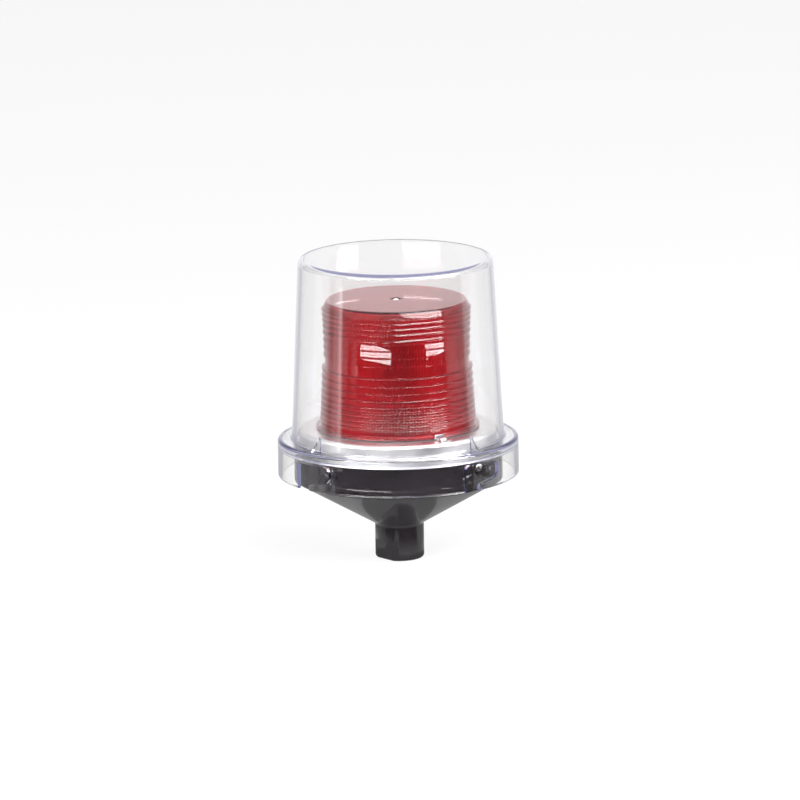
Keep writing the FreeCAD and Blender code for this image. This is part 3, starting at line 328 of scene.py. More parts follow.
tube_glass, tree, shader = see_through(
    "tube_glass", (0.97, 0.98, 0.97), (0.92, 0.93, 0.92), 0.0, GLASS_IOR, (0.8, 0.85, 0.8))
add_relief(tree, shader, noise(tree, 60.0, 1.0), 0.05, 0.3)

socket_black, tree, shader = new_material("socket_black", (0.025, 0.025, 0.027), 0.45)
wander_roughness(tree, shader, 0.38, 0.55, 120.0)
add_relief(tree, shader, noise(tree, 1200.0, 3.0), 0.05, 0.5)

contact_brass, tree, shader = new_material("contact_brass", (0.72, 0.52, 0.22), 0.25, 1.0)
wander_roughness(tree, shader, 0.18, 0.38, 500.0)
wander_colour(tree, shader, (0.74, 0.54, 0.24), (0.60, 0.42, 0.18), 300.0)

board_green, tree, shader = new_material("board_green", (0.02, 0.16, 0.06), 0.35)
tracks = add_node(tree, "ShaderNodeTexBrick")
tracks.inputs["Scale"].default_value = 160.0
tracks.inputs["Mortar Size"].default_value = 0.03
tracks.inputs["Color1"].default_value = (0.015, 0.13, 0.05, 1.0)
tracks.inputs["Color2"].default_value = (0.02, 0.16, 0.06, 1.0)
tracks.inputs["Mortar"].default_value = (0.05, 0.28, 0.12, 1.0)
tree.links.new(object_place(tree), tracks.inputs["Vector"])
tree.links.new(tracks.outputs["Color"], shader.inputs["Base Color"])
add_relief(tree, shader, tracks.outputs["Fac"], 0.035, 0.6)
wander_roughness(tree, shader, 0.28, 0.45, 150.0)

capacitor_sleeve, tree, shader = new_material("capacitor_sleeve", (0.02, 0.03, 0.08), 0.3)
wander_roughness(tree, shader, 0.22, 0.38, 180.0)
wander_colour(tree, shader, (0.018, 0.028, 0.075), (0.028, 0.04, 0.10), 90.0)
add_relief(tree, shader, noise(tree, 220.0, 2.0), 0.08, 0.4)

core_grey, tree, shader = new_material("core_grey", (0.20, 0.20, 0.21), 0.5, 0.6)
sheets = add_node(tree, "ShaderNodeTexWave", bands_direction="Y")
sheets.inputs["Scale"].default_value = 320.0
sheets.inputs["Distortion"].default_value = 0.4
tree.links.new(object_place(tree), sheets.inputs["Vector"])
add_relief(tree, shader, sheets.outputs["Fac"], 0.08, 0.7)
wander_colour(tree, shader, (0.17, 0.17, 0.18), (0.26, 0.25, 0.25), 200.0)

winding_tape, tree, shader = new_material("winding_tape", (0.55, 0.42, 0.08), 0.35)
turns = add_node(tree, "ShaderNodeTexWave", bands_direction="Z")
turns.inputs["Scale"].default_value = 420.0
tree.links.new(object_place(tree), turns.inputs["Vector"])
add_relief(tree, shader, turns.outputs["Fac"], 0.10, 0.7)
wander_colour(tree, shader, (0.52, 0.38, 0.06), (0.64, 0.50, 0.12), 120.0)

heat_metal, tree, shader = new_material("heat_sink_black", (0.03, 0.03, 0.03), 0.45, 0.7)
wander_roughness(tree, shader, 0.35, 0.55, 250.0)
add_relief(tree, shader, noise(tree, 900.0, 2.0, (1, 1, 0.1)), 0.04, 0.5)

terminal_green, tree, shader = new_material("terminal_green", (0.03, 0.22, 0.10), 0.4)
wander_roughness(tree, shader, 0.32, 0.5, 200.0)
add_relief(tree, shader, noise(tree, 1000.0, 2.0), 0.04, 0.4)

lead_sleeve, tree, shader = new_material("lead_sleeve", (0.45, 0.03, 0.02), 0.4)
wander_roughness(tree, shader, 0.3, 0.5, 300.0)
wander_colour(tree, shader, (0.42, 0.025, 0.02), (0.52, 0.04, 0.03), 150.0)
print("inner finishes ready")

# %% [markdown]
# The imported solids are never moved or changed, and each gets one finish. The
# pieces that are made further down take the place of most of them.

# %% Give the CAD nodes their finishes
FINISH_OF = {
    "base_housing": black_moulding, "bayonet_lugs": lug_black, "lock_screw": bright_steel,
    "dome_gasket": seal_rubber, "guard_dome": clear_plastic, "deck_pan": deck_metal,
    "deck_screws": bright_steel, "lens": red_plastic, "lens_seal": seal_rubber,
    "lens_clips": bright_steel, "lens_screws": bright_steel, "tube_socket": socket_black,
    "socket_screws": bright_steel, "tube_plug": socket_black, "tube_pins": contact_brass,
    "flash_tube": tube_glass, "tube_end_caps": bright_steel, "trigger_wire": bright_steel,
    "tube_cover": tube_glass, "circuit_board": board_green, "board_pillars": contact_brass,
    "storage_capacitor": capacitor_sleeve, "transformer_core": core_grey,
    "transformer_winding": winding_tape, "trigger_coil": winding_tape, "heat_sink": heat_metal,
    "power_transistor": socket_black, "board_screws": bright_steel,
    "terminal_block": terminal_green, "terminal_screws": bright_steel,
    "socket_leads": lead_sleeve, "earth_screw": contact_brass,
}
for node_name, finish in FINISH_OF.items():
    holder = NODES[node_name]
    if not holder.material_slots:
        holder.data.materials.append(finish)
    for place in holder.material_slots:
        place.material = finish
print("finished nodes:", len(FINISH_OF), "of", len(NODES))

# %% [markdown]
# Most of this light was made on a lathe or in a round mould, so most pieces
# start as half an outline that is spun round the upright axis. In Blender that
# is a single vertex, extruded from corner to corner in edit mode, and then one
# Spin. The helpers below do just that. A rounded corner is a few extra points.

# %% Modelling helpers
MERGE_GAP = 2e-6
NORMAL_WEIGHT = 80
QUARTERS = 4


def deselect_everything():
    if bpy.context.object and bpy.context.object.mode != "OBJECT":
        bpy.ops.object.mode_set(mode="OBJECT")
    bpy.ops.object.select_all(action="DESELECT")


def make_active(piece):
    deselect_everything()
    piece.select_set(True)
    bpy.context.view_layer.objects.active = piece


def rounded_outline(corners, steps):
    """Points of an outline. A corner is (radius, level) or, where it is
    rounded, (radius, level, rounding)."""
    points = []
    last = len(corners) - 1
    for index, corner in enumerate(corners):
        here = Vector(corner[:2])
        if len(corner) == 2 or index in (0, last):
            points.append(here)
            continue
        to_before = (Vector(corners[index - 1][:2]) - here).normalized()
        to_after = (Vector(corners[index + 1][:2]) - here).normalized()
        half = to_before.angle(to_after) / 2
        reach = corner[2] / math.tan(half)
        start, finish = here + to_before * reach, here + to_after * reach
        centre = here + (to_before + to_after).normalized() * corner[2] / math.sin(half)
        sweep = math.pi - 2 * half
        for step in range(steps + 1):
            share = step / steps
            direction = (start - centre).normalized()
            turn = math.copysign(sweep * share, (start - centre).cross(finish - centre))
            direction.rotate(Matrix.Rotation(turn, 2))
            points.append(centre + direction * corner[2])
    return points


def draw_path(name, places):
    """One mesh vertex, extruded through places given in millimetres."""
    deselect_everything()
    bpy.ops.mesh.primitive_plane_add(size=1 * MM, location=(0, 0, 0))
    piece = bpy.context.object
    piece.name = name
    piece.data.name = name
    bpy.ops.object.mode_set(mode="EDIT")
    bpy.ops.mesh.select_all(action="SELECT")
    bpy.ops.mesh.merge(type="CENTER")
    bpy.ops.transform.translate(value=Vector(places[0]) * MM)
    for start, finish in zip(places, places[1:]):
        step = (Vector(finish) - Vector(start)) * MM
        bpy.ops.mesh.extrude_vertices_move(TRANSFORM_OT_translate={"value": step})
    return piece


def close_mesh():
    """Merges doubles and points the faces outwards. Works in edit mode."""
    bpy.ops.mesh.select_all(action="SELECT")
    bpy.ops.mesh.remove_doubles(threshold=MERGE_GAP)
    bpy.ops.mesh.select_all(action="SELECT")
    bpy.ops.mesh.normals_make_consistent(inside=False)
    bpy.ops.object.mode_set(mode="OBJECT")


def spin_piece(name, outline, steps):
    """A round piece from half its outline of (radius, level)."""
    piece = draw_path(name, [(point[0], 0, point[1]) for point in outline])
    bpy.ops.mesh.select_all(action="SELECT")
    bpy.ops.mesh.spin(steps=steps, angle=FULL_TURN, center=(0, 0, 0), axis=(0, 0, 1))
    close_mesh()
    return piece


def smooth(piece, degrees=32.0):
    make_active(piece)
    bpy.ops.object.shade_smooth_by_angle(angle=math.radians(degrees))
    keep = piece.modifiers.new("even_normals", "WEIGHTED_NORMAL")
    keep.keep_sharp = True
    keep.weight = NORMAL_WEIGHT
    bpy.ops.object.modifier_apply(modifier="even_normals")


def use_modifier(piece, kind, **settings):
    """Adds a modifier to a piece and applies it."""
    make_active(piece)
    modifier = piece.modifiers.new(kind.lower(), kind)
    for name, value in settings.items():
        setattr(modifier, name, value)
    bpy.ops.object.modifier_apply(modifier=modifier.name)


def carve(piece, cutter, operation="DIFFERENCE"):
    use_modifier(piece, "BOOLEAN", object=cutter, operation=operation, solver="EXACT")
    bpy.data.objects.remove(cutter)


def finish_piece(piece, body, slot, materials, *replaced):
    """Material and body of a piece that is done. The slot argument is not used."""
    piece.data.materials.clear()
    for material in materials:
        piece.data.materials.append(material)
    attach(piece, body)
    if replaced:
        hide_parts(*replaced)
    print(piece.name + ":", len(piece.data.polygons), "faces")


def four_times(piece):
    """Copies everything in a mesh evenly round the axis, original included."""
    make_active(piece)
    bpy.ops.object.mode_set(mode="EDIT")
    bpy.ops.mesh.select_all(action="SELECT")
    bpy.ops.mesh.spin(steps=QUARTERS - 1, dupli=True, angle=FULL_TURN * (QUARTERS - 1) / QUARTERS,
                      center=(0, 0, 0), axis=(0, 0, 1))
    close_mesh()


print("modelling helpers ready")

# %% [markdown]
# The guard dome is one clear moulding: a bell with a slight taper, a flange, a
# skirt that hangs over the base, four small gussets and four bayonet slots.
# The bell is spun. The gussets are joined to it and the slots are cut out of
# it with Boolean modifiers, because the clear plastic shows every inside wall
# and none may be left where two shapes meet.

# %% Guard dome: the spun shell
DOME_TOP = 216.0
DOME_WALL = 3.0
SHOULDER = 68.64
FOOT = 74.9
BORE = 72.22
BORE_TOP = 65.78
SKIRT_INSIDE = FLANGE_RADIUS - SKIRT_WALL
CEILING = DOME_TOP - DOME_WALL

dome_outline = rounded_outline([
    (0, DOME_TOP), (SHOULDER, DOME_TOP, 4.0),
    (FOOT, FLANGE_TOP, 1.4), (FLANGE_RADIUS, FLANGE_TOP, 2.8),
    (FLANGE_RADIUS, SKIRT_LOW, 1.2), (SKIRT_INSIDE, SKIRT_LOW, 1.2),
    (SKIRT_INSIDE, FLANGE_UNDER, 0.4), (BORE, FLANGE_UNDER, 0.4),
    (BORE_TOP, CEILING, 1.9), (0, CEILING),
], steps=7)
dome = spin_piece("clear_dome", dome_outline, steps=256)
print("spun shell:", len(dome.data.polygons), "faces")

# %% [markdown]
# A gusset is a thin triangle that stiffens the corner between bell and flange.
# It is drawn once as a flat outline, filled, extruded to its thickness and
# then repeated four times round the axis.

# %% Guard dome: gussets
GUSSET_AZIMUTH = 43.0
GUSSET_TALL = 10.0
GUSSET_END = 82.0
GUSSET_THICK = 2.0
GUSSET_ROOT = 1.5
GUSSET_SINK = 1.0
GUSSET_LIP = 0.6
GUSSET_TIP = 0.5


def prism(name, outline, thickness, azimuth, across):
    """A flat outline given a thickness. across=True draws it along the
    radius, across=False draws it square to the radius."""
    angle = math.radians(azimuth)
    outward = Vector((math.sin(angle), -math.cos(angle), 0))
    sideways = Vector((math.cos(angle), math.sin(angle), 0))
    along, through = (outward, sideways) if across else (sideways, outward)
    places = [along * a + UP * b + through * thickness[0] for a, b in outline]
    piece = draw_path(name, places)
    bpy.ops.mesh.select_all(action="SELECT")
    bpy.ops.mesh.edge_face_add()
    step = through * (thickness[1] - thickness[0]) * MM
    bpy.ops.mesh.extrude_region_move(TRANSFORM_OT_translate={"value": step})
    close_mesh()
    return piece


gusset_outline = [
    (FOOT - GUSSET_ROOT, FLANGE_TOP - GUSSET_SINK), (GUSSET_END, FLANGE_TOP - GUSSET_SINK),
    (GUSSET_END, FLANGE_TOP + GUSSET_LIP), (FOOT - GUSSET_TIP, FLANGE_TOP + GUSSET_TALL),
    (FOOT - GUSSET_ROOT, FLANGE_TOP + GUSSET_TALL),
]
half_gusset = GUSSET_THICK / 2
gussets = prism("gussets", gusset_outline, (-half_gusset, half_gusset), GUSSET_AZIMUTH, True)
four_times(gussets)
carve(dome, gussets, "UNION")
print("shell with gussets:", len(dome.data.polygons), "faces")

# %% [markdown]
# Each bayonet slot is open at the bottom on its left, where the lug comes in.
# It has a rounded corner, a half-round closed end on its right, and a finger
# below it that slopes, so that the twist pulls the dome down on its seal.

# %% Guard dome: bayonet slots
SLOT_AZIMUTH = 44.5
SLOT_LEFT, SLOT_RIGHT = -15.85, 15.85
SLOT_TOP = 80.0
SLOT_HEIGHT = 12.4
SLOT_ENTRY = 12.3
SLOT_CORNER = 3.5
RAMP_DROP = 2.3
FINGER_ROUND = 1.2
CUT_INWARD = 8
CUT_OUTWARD = 4


def arc_points(centre, radius, start, finish, steps):
    """Points of an arc. Its start and finish are angles in degrees."""
    points = []
    for step in range(steps + 1):
        angle = math.radians(start + (finish - start) * step / steps)
        points.append((centre[0] + radius * math.cos(angle), centre[1] + radius * math.sin(angle)))
    return points


end_round = SLOT_HEIGHT / 2
slot_floor = SLOT_TOP - SLOT_HEIGHT
finger_side = SLOT_LEFT + SLOT_ENTRY
corner = (SLOT_LEFT + SLOT_CORNER, SLOT_TOP - SLOT_CORNER)
closed_end = (SLOT_RIGHT - end_round, SLOT_TOP - end_round)
fingertip = (finger_side + FINGER_ROUND, slot_floor - RAMP_DROP - FINGER_ROUND)
slot_outline = [(SLOT_LEFT, SKIRT_LOW - 1)]
slot_outline += arc_points(corner, SLOT_CORNER, 180, 90, 6)
slot_outline += arc_points(closed_end, end_round, 90, -90, 16)
slot_outline += arc_points(fingertip, FINGER_ROUND, 90, 180, 5)
slot_outline.append((finger_side, SKIRT_LOW - 1))
cut_depth = (SKIRT_INSIDE - CUT_INWARD, FLANGE_RADIUS + CUT_OUTWARD)
slots = prism("slots", slot_outline, cut_depth, SLOT_AZIMUTH, False)
four_times(slots)
carve(dome, slots)
print("shell with slots:", len(dome.data.polygons), "faces")

# %% [markdown]
# Two thin upright lines stand on the skirt in each quarter, where the halves
# of the mould met. They are raised by a quarter of a millimetre. A flattened
# bar for each is joined to the skirt.

# %% Guard dome: mould lines
MOULD_LINES = (33.0, 57.0)
LINE_RISE = 0.25
LINE_SINK = 0.6
LINE_HALF = 0.25

line_root = FLANGE_RADIUS - LINE_SINK
line_face = FLANGE_RADIUS + LINE_RISE
line_outline = [
    (line_root, SKIRT_LOW + 0.8), (line_face - 0.15, SKIRT_LOW + 0.8),
    (line_face, SKIRT_LOW + 2.0), (line_face, FLANGE_TOP - 4.0), (line_root, FLANGE_TOP - 3.2),
]
for azimuth in MOULD_LINES:
    mould_lines = prism("mould_lines", line_outline, (-LINE_HALF, LINE_HALF), azimuth, True)
    four_times(mould_lines)
    carve(dome, mould_lines, "UNION")
smooth(dome)
finish_piece(dome, "dome", "clear_dome", [clear_plastic], "guard_dome")

# %% [markdown]
# The lens is a closed cup of red plastic. Its outside carries ribs that bend
# the flash into a flat beam, as on a lighthouse lens. Each rib has a long
# facet, a rounded crest on the side nearer the focal plane, and a short step.
# The ribs get narrower away from that plane. The outline is worked out rib by
# rib and then spun. The small nub on top is what the moulding gate left.

# %% Lens: ribs
BAND_HALF = 3.9
BAND_RADIUS = 51.0
RIB_FIRST = 5.7
RIB_RATIO = 0.925
CREST_DEPTH = 1.1
CREST_LENGTH = {1: 1.7, -1: 1.2}
CREST_TURNS = (-90, -66, -44, -22, 0)
FLAT_CREST_LENGTH = 0.9
FACET_STEPS = 5
FLAT_RIBS = 3
FLAT_TILT = (9.5, 0.54)
BULGE_TILT = (19.0, 20.0)
LOWER_TILT_SHARE = 0.7
UPPER_TIPS = (51.9, 52.9)
LOWER_TIPS = (53.4, 55.3)


def rib_spans(room):
    spans = []
    reach, width = BAND_HALF, RIB_FIRST
    while reach + width <= room:
        spans.append((reach, width))
        reach += width
        width *= RIB_RATIO
    return spans


def facet_tilt(index, reach, share, side):
    """Lean of a facet in degrees. The wide ribs beside the band follow one
    gentle curve, and each of the narrow ones bulges by itself."""
    if index < FLAT_RIBS:
        return FLAT_TILT[0] + FLAT_TILT[1] * reach
    return (BULGE_TILT[0] + BULGE_TILT[1] * share) * (1.0 if side > 0 else LOWER_TILT_SHARE)


def rib_points(spans, tips, side):
    """Outline points of the ribs on one side of the focal plane, going away
    from it. side is 1 above it and -1 below it."""
    points = []
    for index, (reach, width) in enumerate(spans):
        crest = FLAT_CREST_LENGTH if index < FLAT_RIBS else CREST_LENGTH[side]
        tip = tips[0] + (tips[1] - tips[0]) * index / (len(spans) - 1)
        for turn in CREST_TURNS:
            angle = math.radians(turn)
            points.append((tip - CREST_DEPTH * (1 - math.cos(angle)),
                           FOCUS + side * (reach + crest * (1 + math.sin(angle)))))
        piece_width = (width - crest) / FACET_STEPS
        radius = tip
        for step in range(FACET_STEPS):
            along = reach + crest + piece_width * (step + 1)
            lean = facet_tilt(index, along - piece_width / 2, (step + 0.5) / FACET_STEPS, side)
            radius -= piece_width * math.tan(math.radians(lean))
            points.append((radius, FOCUS + side * along))
    return points


print("widest rib:", RIB_FIRST, "mm")

# %% [markdown]
# The outline runs from the nub over the top disc, down the ribs and the foot
# flange, and back up the inside. The last rib below the top is cut short by
# the slope of the top's edge.

# %% Lens: the whole outline
TOP_MARGIN = 3.9
FOOT_MARGIN = 1.0
BAND_EDGE = 0.3
NUB_RADIUS = 2.1
NUB_DITCH = 0.9
NUB_TALL = 0.88
NUB_TURNS = (0, 20, 40, 60, 75, 90)
TOP_DISC = [(2.9, 0.9), (3.8, 0.5), (4.6, 0), (48.2, 0), (48.9, 0.12), (49.4, 0.4), (49.8, 1.0),
            (51.2, 3.4), (52.3, 5.0)]
WALL_FOOT = 53.9
FLANGE_EDGE = 57.5
INSIDE_FOOT = 50.4
INSIDE_TOP = 46.9
ROOF = 2.6

upper = rib_spans(LENS_TOP - FOCUS - TOP_MARGIN)
lower = rib_spans(FOCUS - LENS_FOOT - LENS_FLANGE - FOOT_MARGIN)
lens_outline = []
for turn in NUB_TURNS:
    angle = math.radians(turn)
    lens_outline.append((NUB_RADIUS * math.sin(angle),
                         LENS_TOP - NUB_DITCH + NUB_TALL * math.cos(angle)))
lens_outline += [(radius, LENS_TOP - drop) for radius, drop in TOP_DISC]
lens_outline += reversed(rib_points(upper, UPPER_TIPS, 1)[:-FACET_STEPS])
lens_outline += [(BAND_RADIUS, FOCUS + BAND_HALF - BAND_EDGE),
                 (BAND_RADIUS, FOCUS - BAND_HALF + BAND_EDGE)]
lens_outline += rib_points(lower, LOWER_TIPS, -1)
flange_level = LENS_FOOT + LENS_FLANGE
lens_outline += rounded_outline([
    (WALL_FOOT, flange_level + 0.6), (WALL_FOOT, flange_level, 0.4),
    (FLANGE_EDGE, flange_level, 0.6), (FLANGE_EDGE, LENS_FOOT, 0.3),
    (INSIDE_FOOT, LENS_FOOT, 0.3), (INSIDE_TOP, LENS_TOP - ROOF, 1.2), (0, LENS_TOP - ROOF),
], steps=4)
print("ribs above and below the smooth band:", len(upper), len(lower))

# %% [markdown]
# The outline is spun once. Faces of the inside wall get the fluted finish, and
# the nub gets a paler and rougher one: its pale colour is a painted highlight.

# %% Lens: spin and finish
FLUTED_SLOT = 1
NUB_HIGHLIGHT_SLOT = 2

# The nub's pale colour is a painted highlight, not a colour of the plastic.
nub_painted_highlight, tree, shader = new_material("nub_painted_highlight", (0.86, 0.66, 0.66), 0.45)
wander_roughness(tree, shader, 0.35, 0.6, 900.0)
add_relief(tree, shader, noise(tree, 1500.0, 2.0), 0.05, 0.5)

lens = spin_piece("red_lens", lens_outline, steps=192)
smooth(lens, 40.0)
finish_piece(lens, "base", "red_lens", [red_plastic, red_fluted, nub_painted_highlight], "lens")
for face in lens.data.polygons:
    inward = Vector((face.center.x, face.center.y, 0)).normalized().dot(face.normal) < -0.7
    level = face.center.z / MM
    if inward and LENS_FOOT + 1 < level < LENS_TOP - 3:
        face.material_index = FLUTED_SLOT
    elif level > LENS_TOP - 1 and math.hypot(face.center.x, face.center.y) < NUB_RADIUS * MM:
        face.material_index = NUB_HIGHLIGHT_SLOT
print("fluted faces:", sum(face.material_index == FLUTED_SLOT for face in lens.data.polygons))

# %% [markdown]
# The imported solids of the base, the deck and the small metal parts already
# have the right shape. Their meshes are loose triangles with flat shading, so
# a copy of each is merged, shaded smooth by angle and given even normals. The
# gloss then runs over the rounded edges as it does on a real moulding.

# %% Smooth copies of solids
SEAM_ANGLE = 30.0


def smooth_copy(node_name, new_name, slot, material):
    """A merged and smoothly shaded copy of a solid that rides the base."""
    mesh = NODES[node_name].data.copy()
    piece = bpy.data.objects.new(new_name, mesh)
    bpy.context.scene.collection.objects.link(piece)
    make_active(piece)
    bpy.ops.object.mode_set(mode="EDIT")
    bpy.ops.mesh.select_all(action="SELECT")
    bpy.ops.mesh.remove_doubles(threshold=MERGE_GAP)
    bpy.ops.object.mode_set(mode="OBJECT")
    smooth(piece, SEAM_ANGLE)
    finish_piece(piece, "base", slot, [material], node_name)
    return piece


# Each row gives the solid, the name of its copy, the slot and the finish.
for row in (
    ("base_housing", "black_base", "black_housing", black_moulding),
    ("deck_pan", "metal_deck", "deck_aluminium", deck_metal),
    ("bayonet_lugs", "round_lugs", "black_housing", lug_black),
    ("dome_gasket", "rim_seal", "seal_rubber", seal_rubber),
    ("tube_cover", "glass_cover", "tube_glass", tube_glass),
    ("flash_tube", "bent_tube", "tube_glass", tube_glass),
    ("trigger_wire", "tied_wire", "screw_steel", bright_steel),
    ("tube_pins", "round_pins", "contact_brass", contact_brass),
    ("socket_leads", "round_leads", "lead_sleeve", lead_sleeve),
    ("lens_seal", "foam_ring", "seal_rubber", seal_rubber),
    ("trigger_coil", "round_trigger_coil", "winding_tape", winding_tape),
    ("terminal_screws", "slotted_screws", "screw_steel", bright_steel),
    ("earth_screw", "brass_earth_screw", "contact_brass", contact_brass),
):
    smooth_copy(*row)

# %% [markdown]
# Moulded and stamped parts never have knife-sharp edges. These copies lose
# their triangle seams first, and then a small bevel runs along every edge.

# %% Copies with softened edges
FLAT_ANGLE = 0.5
SHARP_ANGLE = 40
BEVEL_ANGLE = 50.0


def edged_copy(node_name, new_name, slot, material, bevel):
    """A smooth copy of a solid with a bevel, in mm, along its sharp edges."""
    piece = smooth_copy(node_name, new_name, slot, material)
    make_active(piece)
    bpy.ops.object.mode_set(mode="EDIT")
    bpy.ops.mesh.select_all(action="SELECT")
    bpy.ops.mesh.dissolve_limited(angle_limit=math.radians(FLAT_ANGLE))
    bpy.ops.object.mode_set(mode="OBJECT")
    use_modifier(piece, "BEVEL", width=bevel * MM, segments=2, limit_method="ANGLE",
                 angle_limit=math.radians(SHARP_ANGLE))
    smooth(piece, BEVEL_ANGLE)


# Each row gives the solid, the name of its copy, the slot, the finish and the
# width of the bevel.
for row in (
    ("lens_clips", "bent_clips", "screw_steel", bright_steel, 0.25),
    ("tube_socket", "round_socket", "socket_black", socket_black, 0.3),
    ("tube_plug", "round_plug", "socket_black", socket_black, 0.25),
    ("transformer_core", "sheet_core", "core_grey", core_grey, 0.25),
    ("transformer_winding", "wound_coil", "winding_tape", winding_tape, 1.2),
    ("heat_sink", "finned_sink", "socket_black", heat_metal, 0.2),
    ("power_transistor", "flat_transistor", "socket_black", socket_black, 0.4),
    ("terminal_block", "three_way_block", "board_green", terminal_green, 0.3),
    ("board_pillars", "hex_pillars", "contact_brass", contact_brass, 0.25),
    ("tube_end_caps", "tube_caps", "screw_steel", bright_steel, 0.3),
    ("circuit_board", "round_board", "board_green", board_green, 0.15),
):
    edged_copy(*row)

# %% [markdown]
# A screw is drawn once: a pan head with a rounded rim, a cross recess and a
# threaded shank. It is then copied to every screw of the light. Each copy has
# its own mesh, which is turned and moved, while the object itself stays at
# the origin.

# %% One cross-head screw
HEAD_RADIUS = 2.9
HEAD_TALL = 2.2
SHANK_RADIUS = 1.6
SHANK_LENGTH = 6.6
THREAD_PITCH = 0.7
THREAD_TURNS = 9
THREAD_DEPTH = 0.3
THREAD_START = -0.3
RECESS_ARM = 1.7
RECESS_WIDE = 0.55
RECESS_DEEP = 1.1


def cut_cross(piece, reach, low, high, width):
    """Cuts a cross of two bars into the upper end of an upright piece."""
    bar_outline = [(-reach, low), (reach, low), (reach, high), (-reach, high)]
    for along in (0, 90):
        carve(piece, prism("cross_bar", bar_outline, (-width / 2, width / 2), along, True))


head = [(0, HEAD_TALL), (1.2, HEAD_TALL - 0.08), (2.0, HEAD_TALL - 0.35), (2.55, HEAD_TALL - 0.85),
        (2.82, HEAD_TALL - 1.4), (HEAD_RADIUS, 0.35), (2.8, 0.0), (SHANK_RADIUS, 0)]
thread = []
for turn in range(THREAD_TURNS):
    level = THREAD_START - turn * THREAD_PITCH
    thread += [(SHANK_RADIUS - THREAD_DEPTH, level), (SHANK_RADIUS, level - THREAD_PITCH / 2)]
pattern_screw = spin_piece("pattern_screw", head + thread + [(0, -SHANK_LENGTH)], steps=40)
cut_cross(pattern_screw, RECESS_ARM, HEAD_TALL - RECESS_DEEP, HEAD_TALL + 1, RECESS_WIDE)
smooth(pattern_screw, 35.0)
print("screw pattern:", len(pattern_screw.data.polygons), "faces")

# %% [markdown]
# Most screws stand in a ring round the axis. The board's are driven in from
# below, so their heads face down. The lock screw goes into the side of the
# base, beside the right-hand lug in front.

# %% Screws where the light has them
FIRST_TURN = 17.0
NEXT_TURN = 31.0
LOCK_PLACE = (78.7, 45.3, 76.2)
LOCK_TURN = 20.0


def screw_group(node_name, new_name, places):
    """Copies of the pattern screw. A place is a point in metres, the
    direction that the head faces and a turn of its recess in degrees."""
    copies = []
    for point, facing_way, turn in places:
        one = bpy.data.objects.new(new_name, pattern_screw.data.copy())
        bpy.context.scene.collection.objects.link(one)
        face = facing_way.to_track_quat("Z", "Y").to_matrix().to_4x4()
        spun = Matrix.Rotation(math.radians(turn), 4, "Z")
        one.data.transform(Matrix.Translation(point) @ face @ spun)
        copies.append(one)
    deselect_everything()
    for one in copies:
        one.select_set(True)
    bpy.context.view_layer.objects.active = copies[0]
    if len(copies) > 1:
        bpy.ops.object.join()
    finish_piece(copies[0], "base", "screw_steel", [bright_steel], node_name)


def ring_places(radius, first, count, level, facing_way):
    places = []
    for step in range(count):
        point = around(radius, first + 360 * step / count, level)
        places.append((point, facing_way, FIRST_TURN + NEXT_TURN * step))
    return places


lock_azimuth = math.radians(LOCK_PLACE[1])
lock_way = Vector((math.sin(lock_azimuth), -math.cos(lock_azimuth), 0))
screw_group("lock_screw", "cross_lock_screw", [(around(*LOCK_PLACE), lock_way, LOCK_TURN)])
# Each row gives the two names, then radius, first azimuth, count, level and
# the way that the heads face.
for node_name, new_name, *ring in (
    ("lens_screws", "cross_lens_screws", 62.8, 29.5, 2, DECK_LEVEL + 1.0, UP),
    ("deck_screws", "cross_deck_screws", 45.0, 89.5, 3, DECK_LEVEL, UP),
    ("socket_screws", "cross_socket_screws", 19.8, 90.0, 2, DECK_LEVEL + 3.0, UP),
    ("board_screws", "cross_board_screws", 32.0, 60.0, 3, 78.0, -UP),
):
    screw_group(node_name, new_name, ring_places(*ring))
bpy.data.objects.remove(pattern_screw)

# %% [markdown]
# The hub is screwed onto a half-inch pipe. Its thread is one ridge that winds
# up the bore: a small triangle, swept by a Screw modifier.

# %% Pipe thread in the hub
BORE_WALL = 10.67
PIPE_PITCH = 1.814
PIPE_TURNS = 10
RIDGE_SINK = 0.05
RIDGE_TALL = 0.85

ridge_root = BORE_WALL + RIDGE_SINK
ridge_tip = BORE_WALL - RIDGE_TALL
ridge = draw_path("hub_thread", [(ridge_root, 0, 0.5), (ridge_tip, 0, 1.05),
                                 (ridge_tip, 0, 1.25), (ridge_root, 0, 1.8)])
bpy.ops.mesh.select_all(action="SELECT")
bpy.ops.mesh.edge_face_add()
bpy.ops.object.mode_set(mode="OBJECT")
use_modifier(ridge, "SCREW", angle=FULL_TURN, screw_offset=PIPE_PITCH * MM,
             iterations=PIPE_TURNS, steps=48, render_steps=48, use_merge_vertices=True,
             merge_threshold=1e-6)
bpy.ops.object.mode_set(mode="EDIT")
close_mesh()
smooth(ridge, 35.0)
finish_piece(ridge, "base", "black_housing", [black_moulding])

# %% [markdown]
# The storage capacitor is a rolled can with a crimped groove at one end and a
# score cross at the other. It is spun upright and then laid on its side.

# %% Storage capacitor
CAN_RADIUS = 12.5
CAN_LENGTH = 46.0
CAN_BACK = 13.6
HANG_LEVEL = 77.8
END_SINK = 0.4
SCORE_REACH = 8
SCORE_DEEP = 0.8
SCORE_WIDE = 0.5

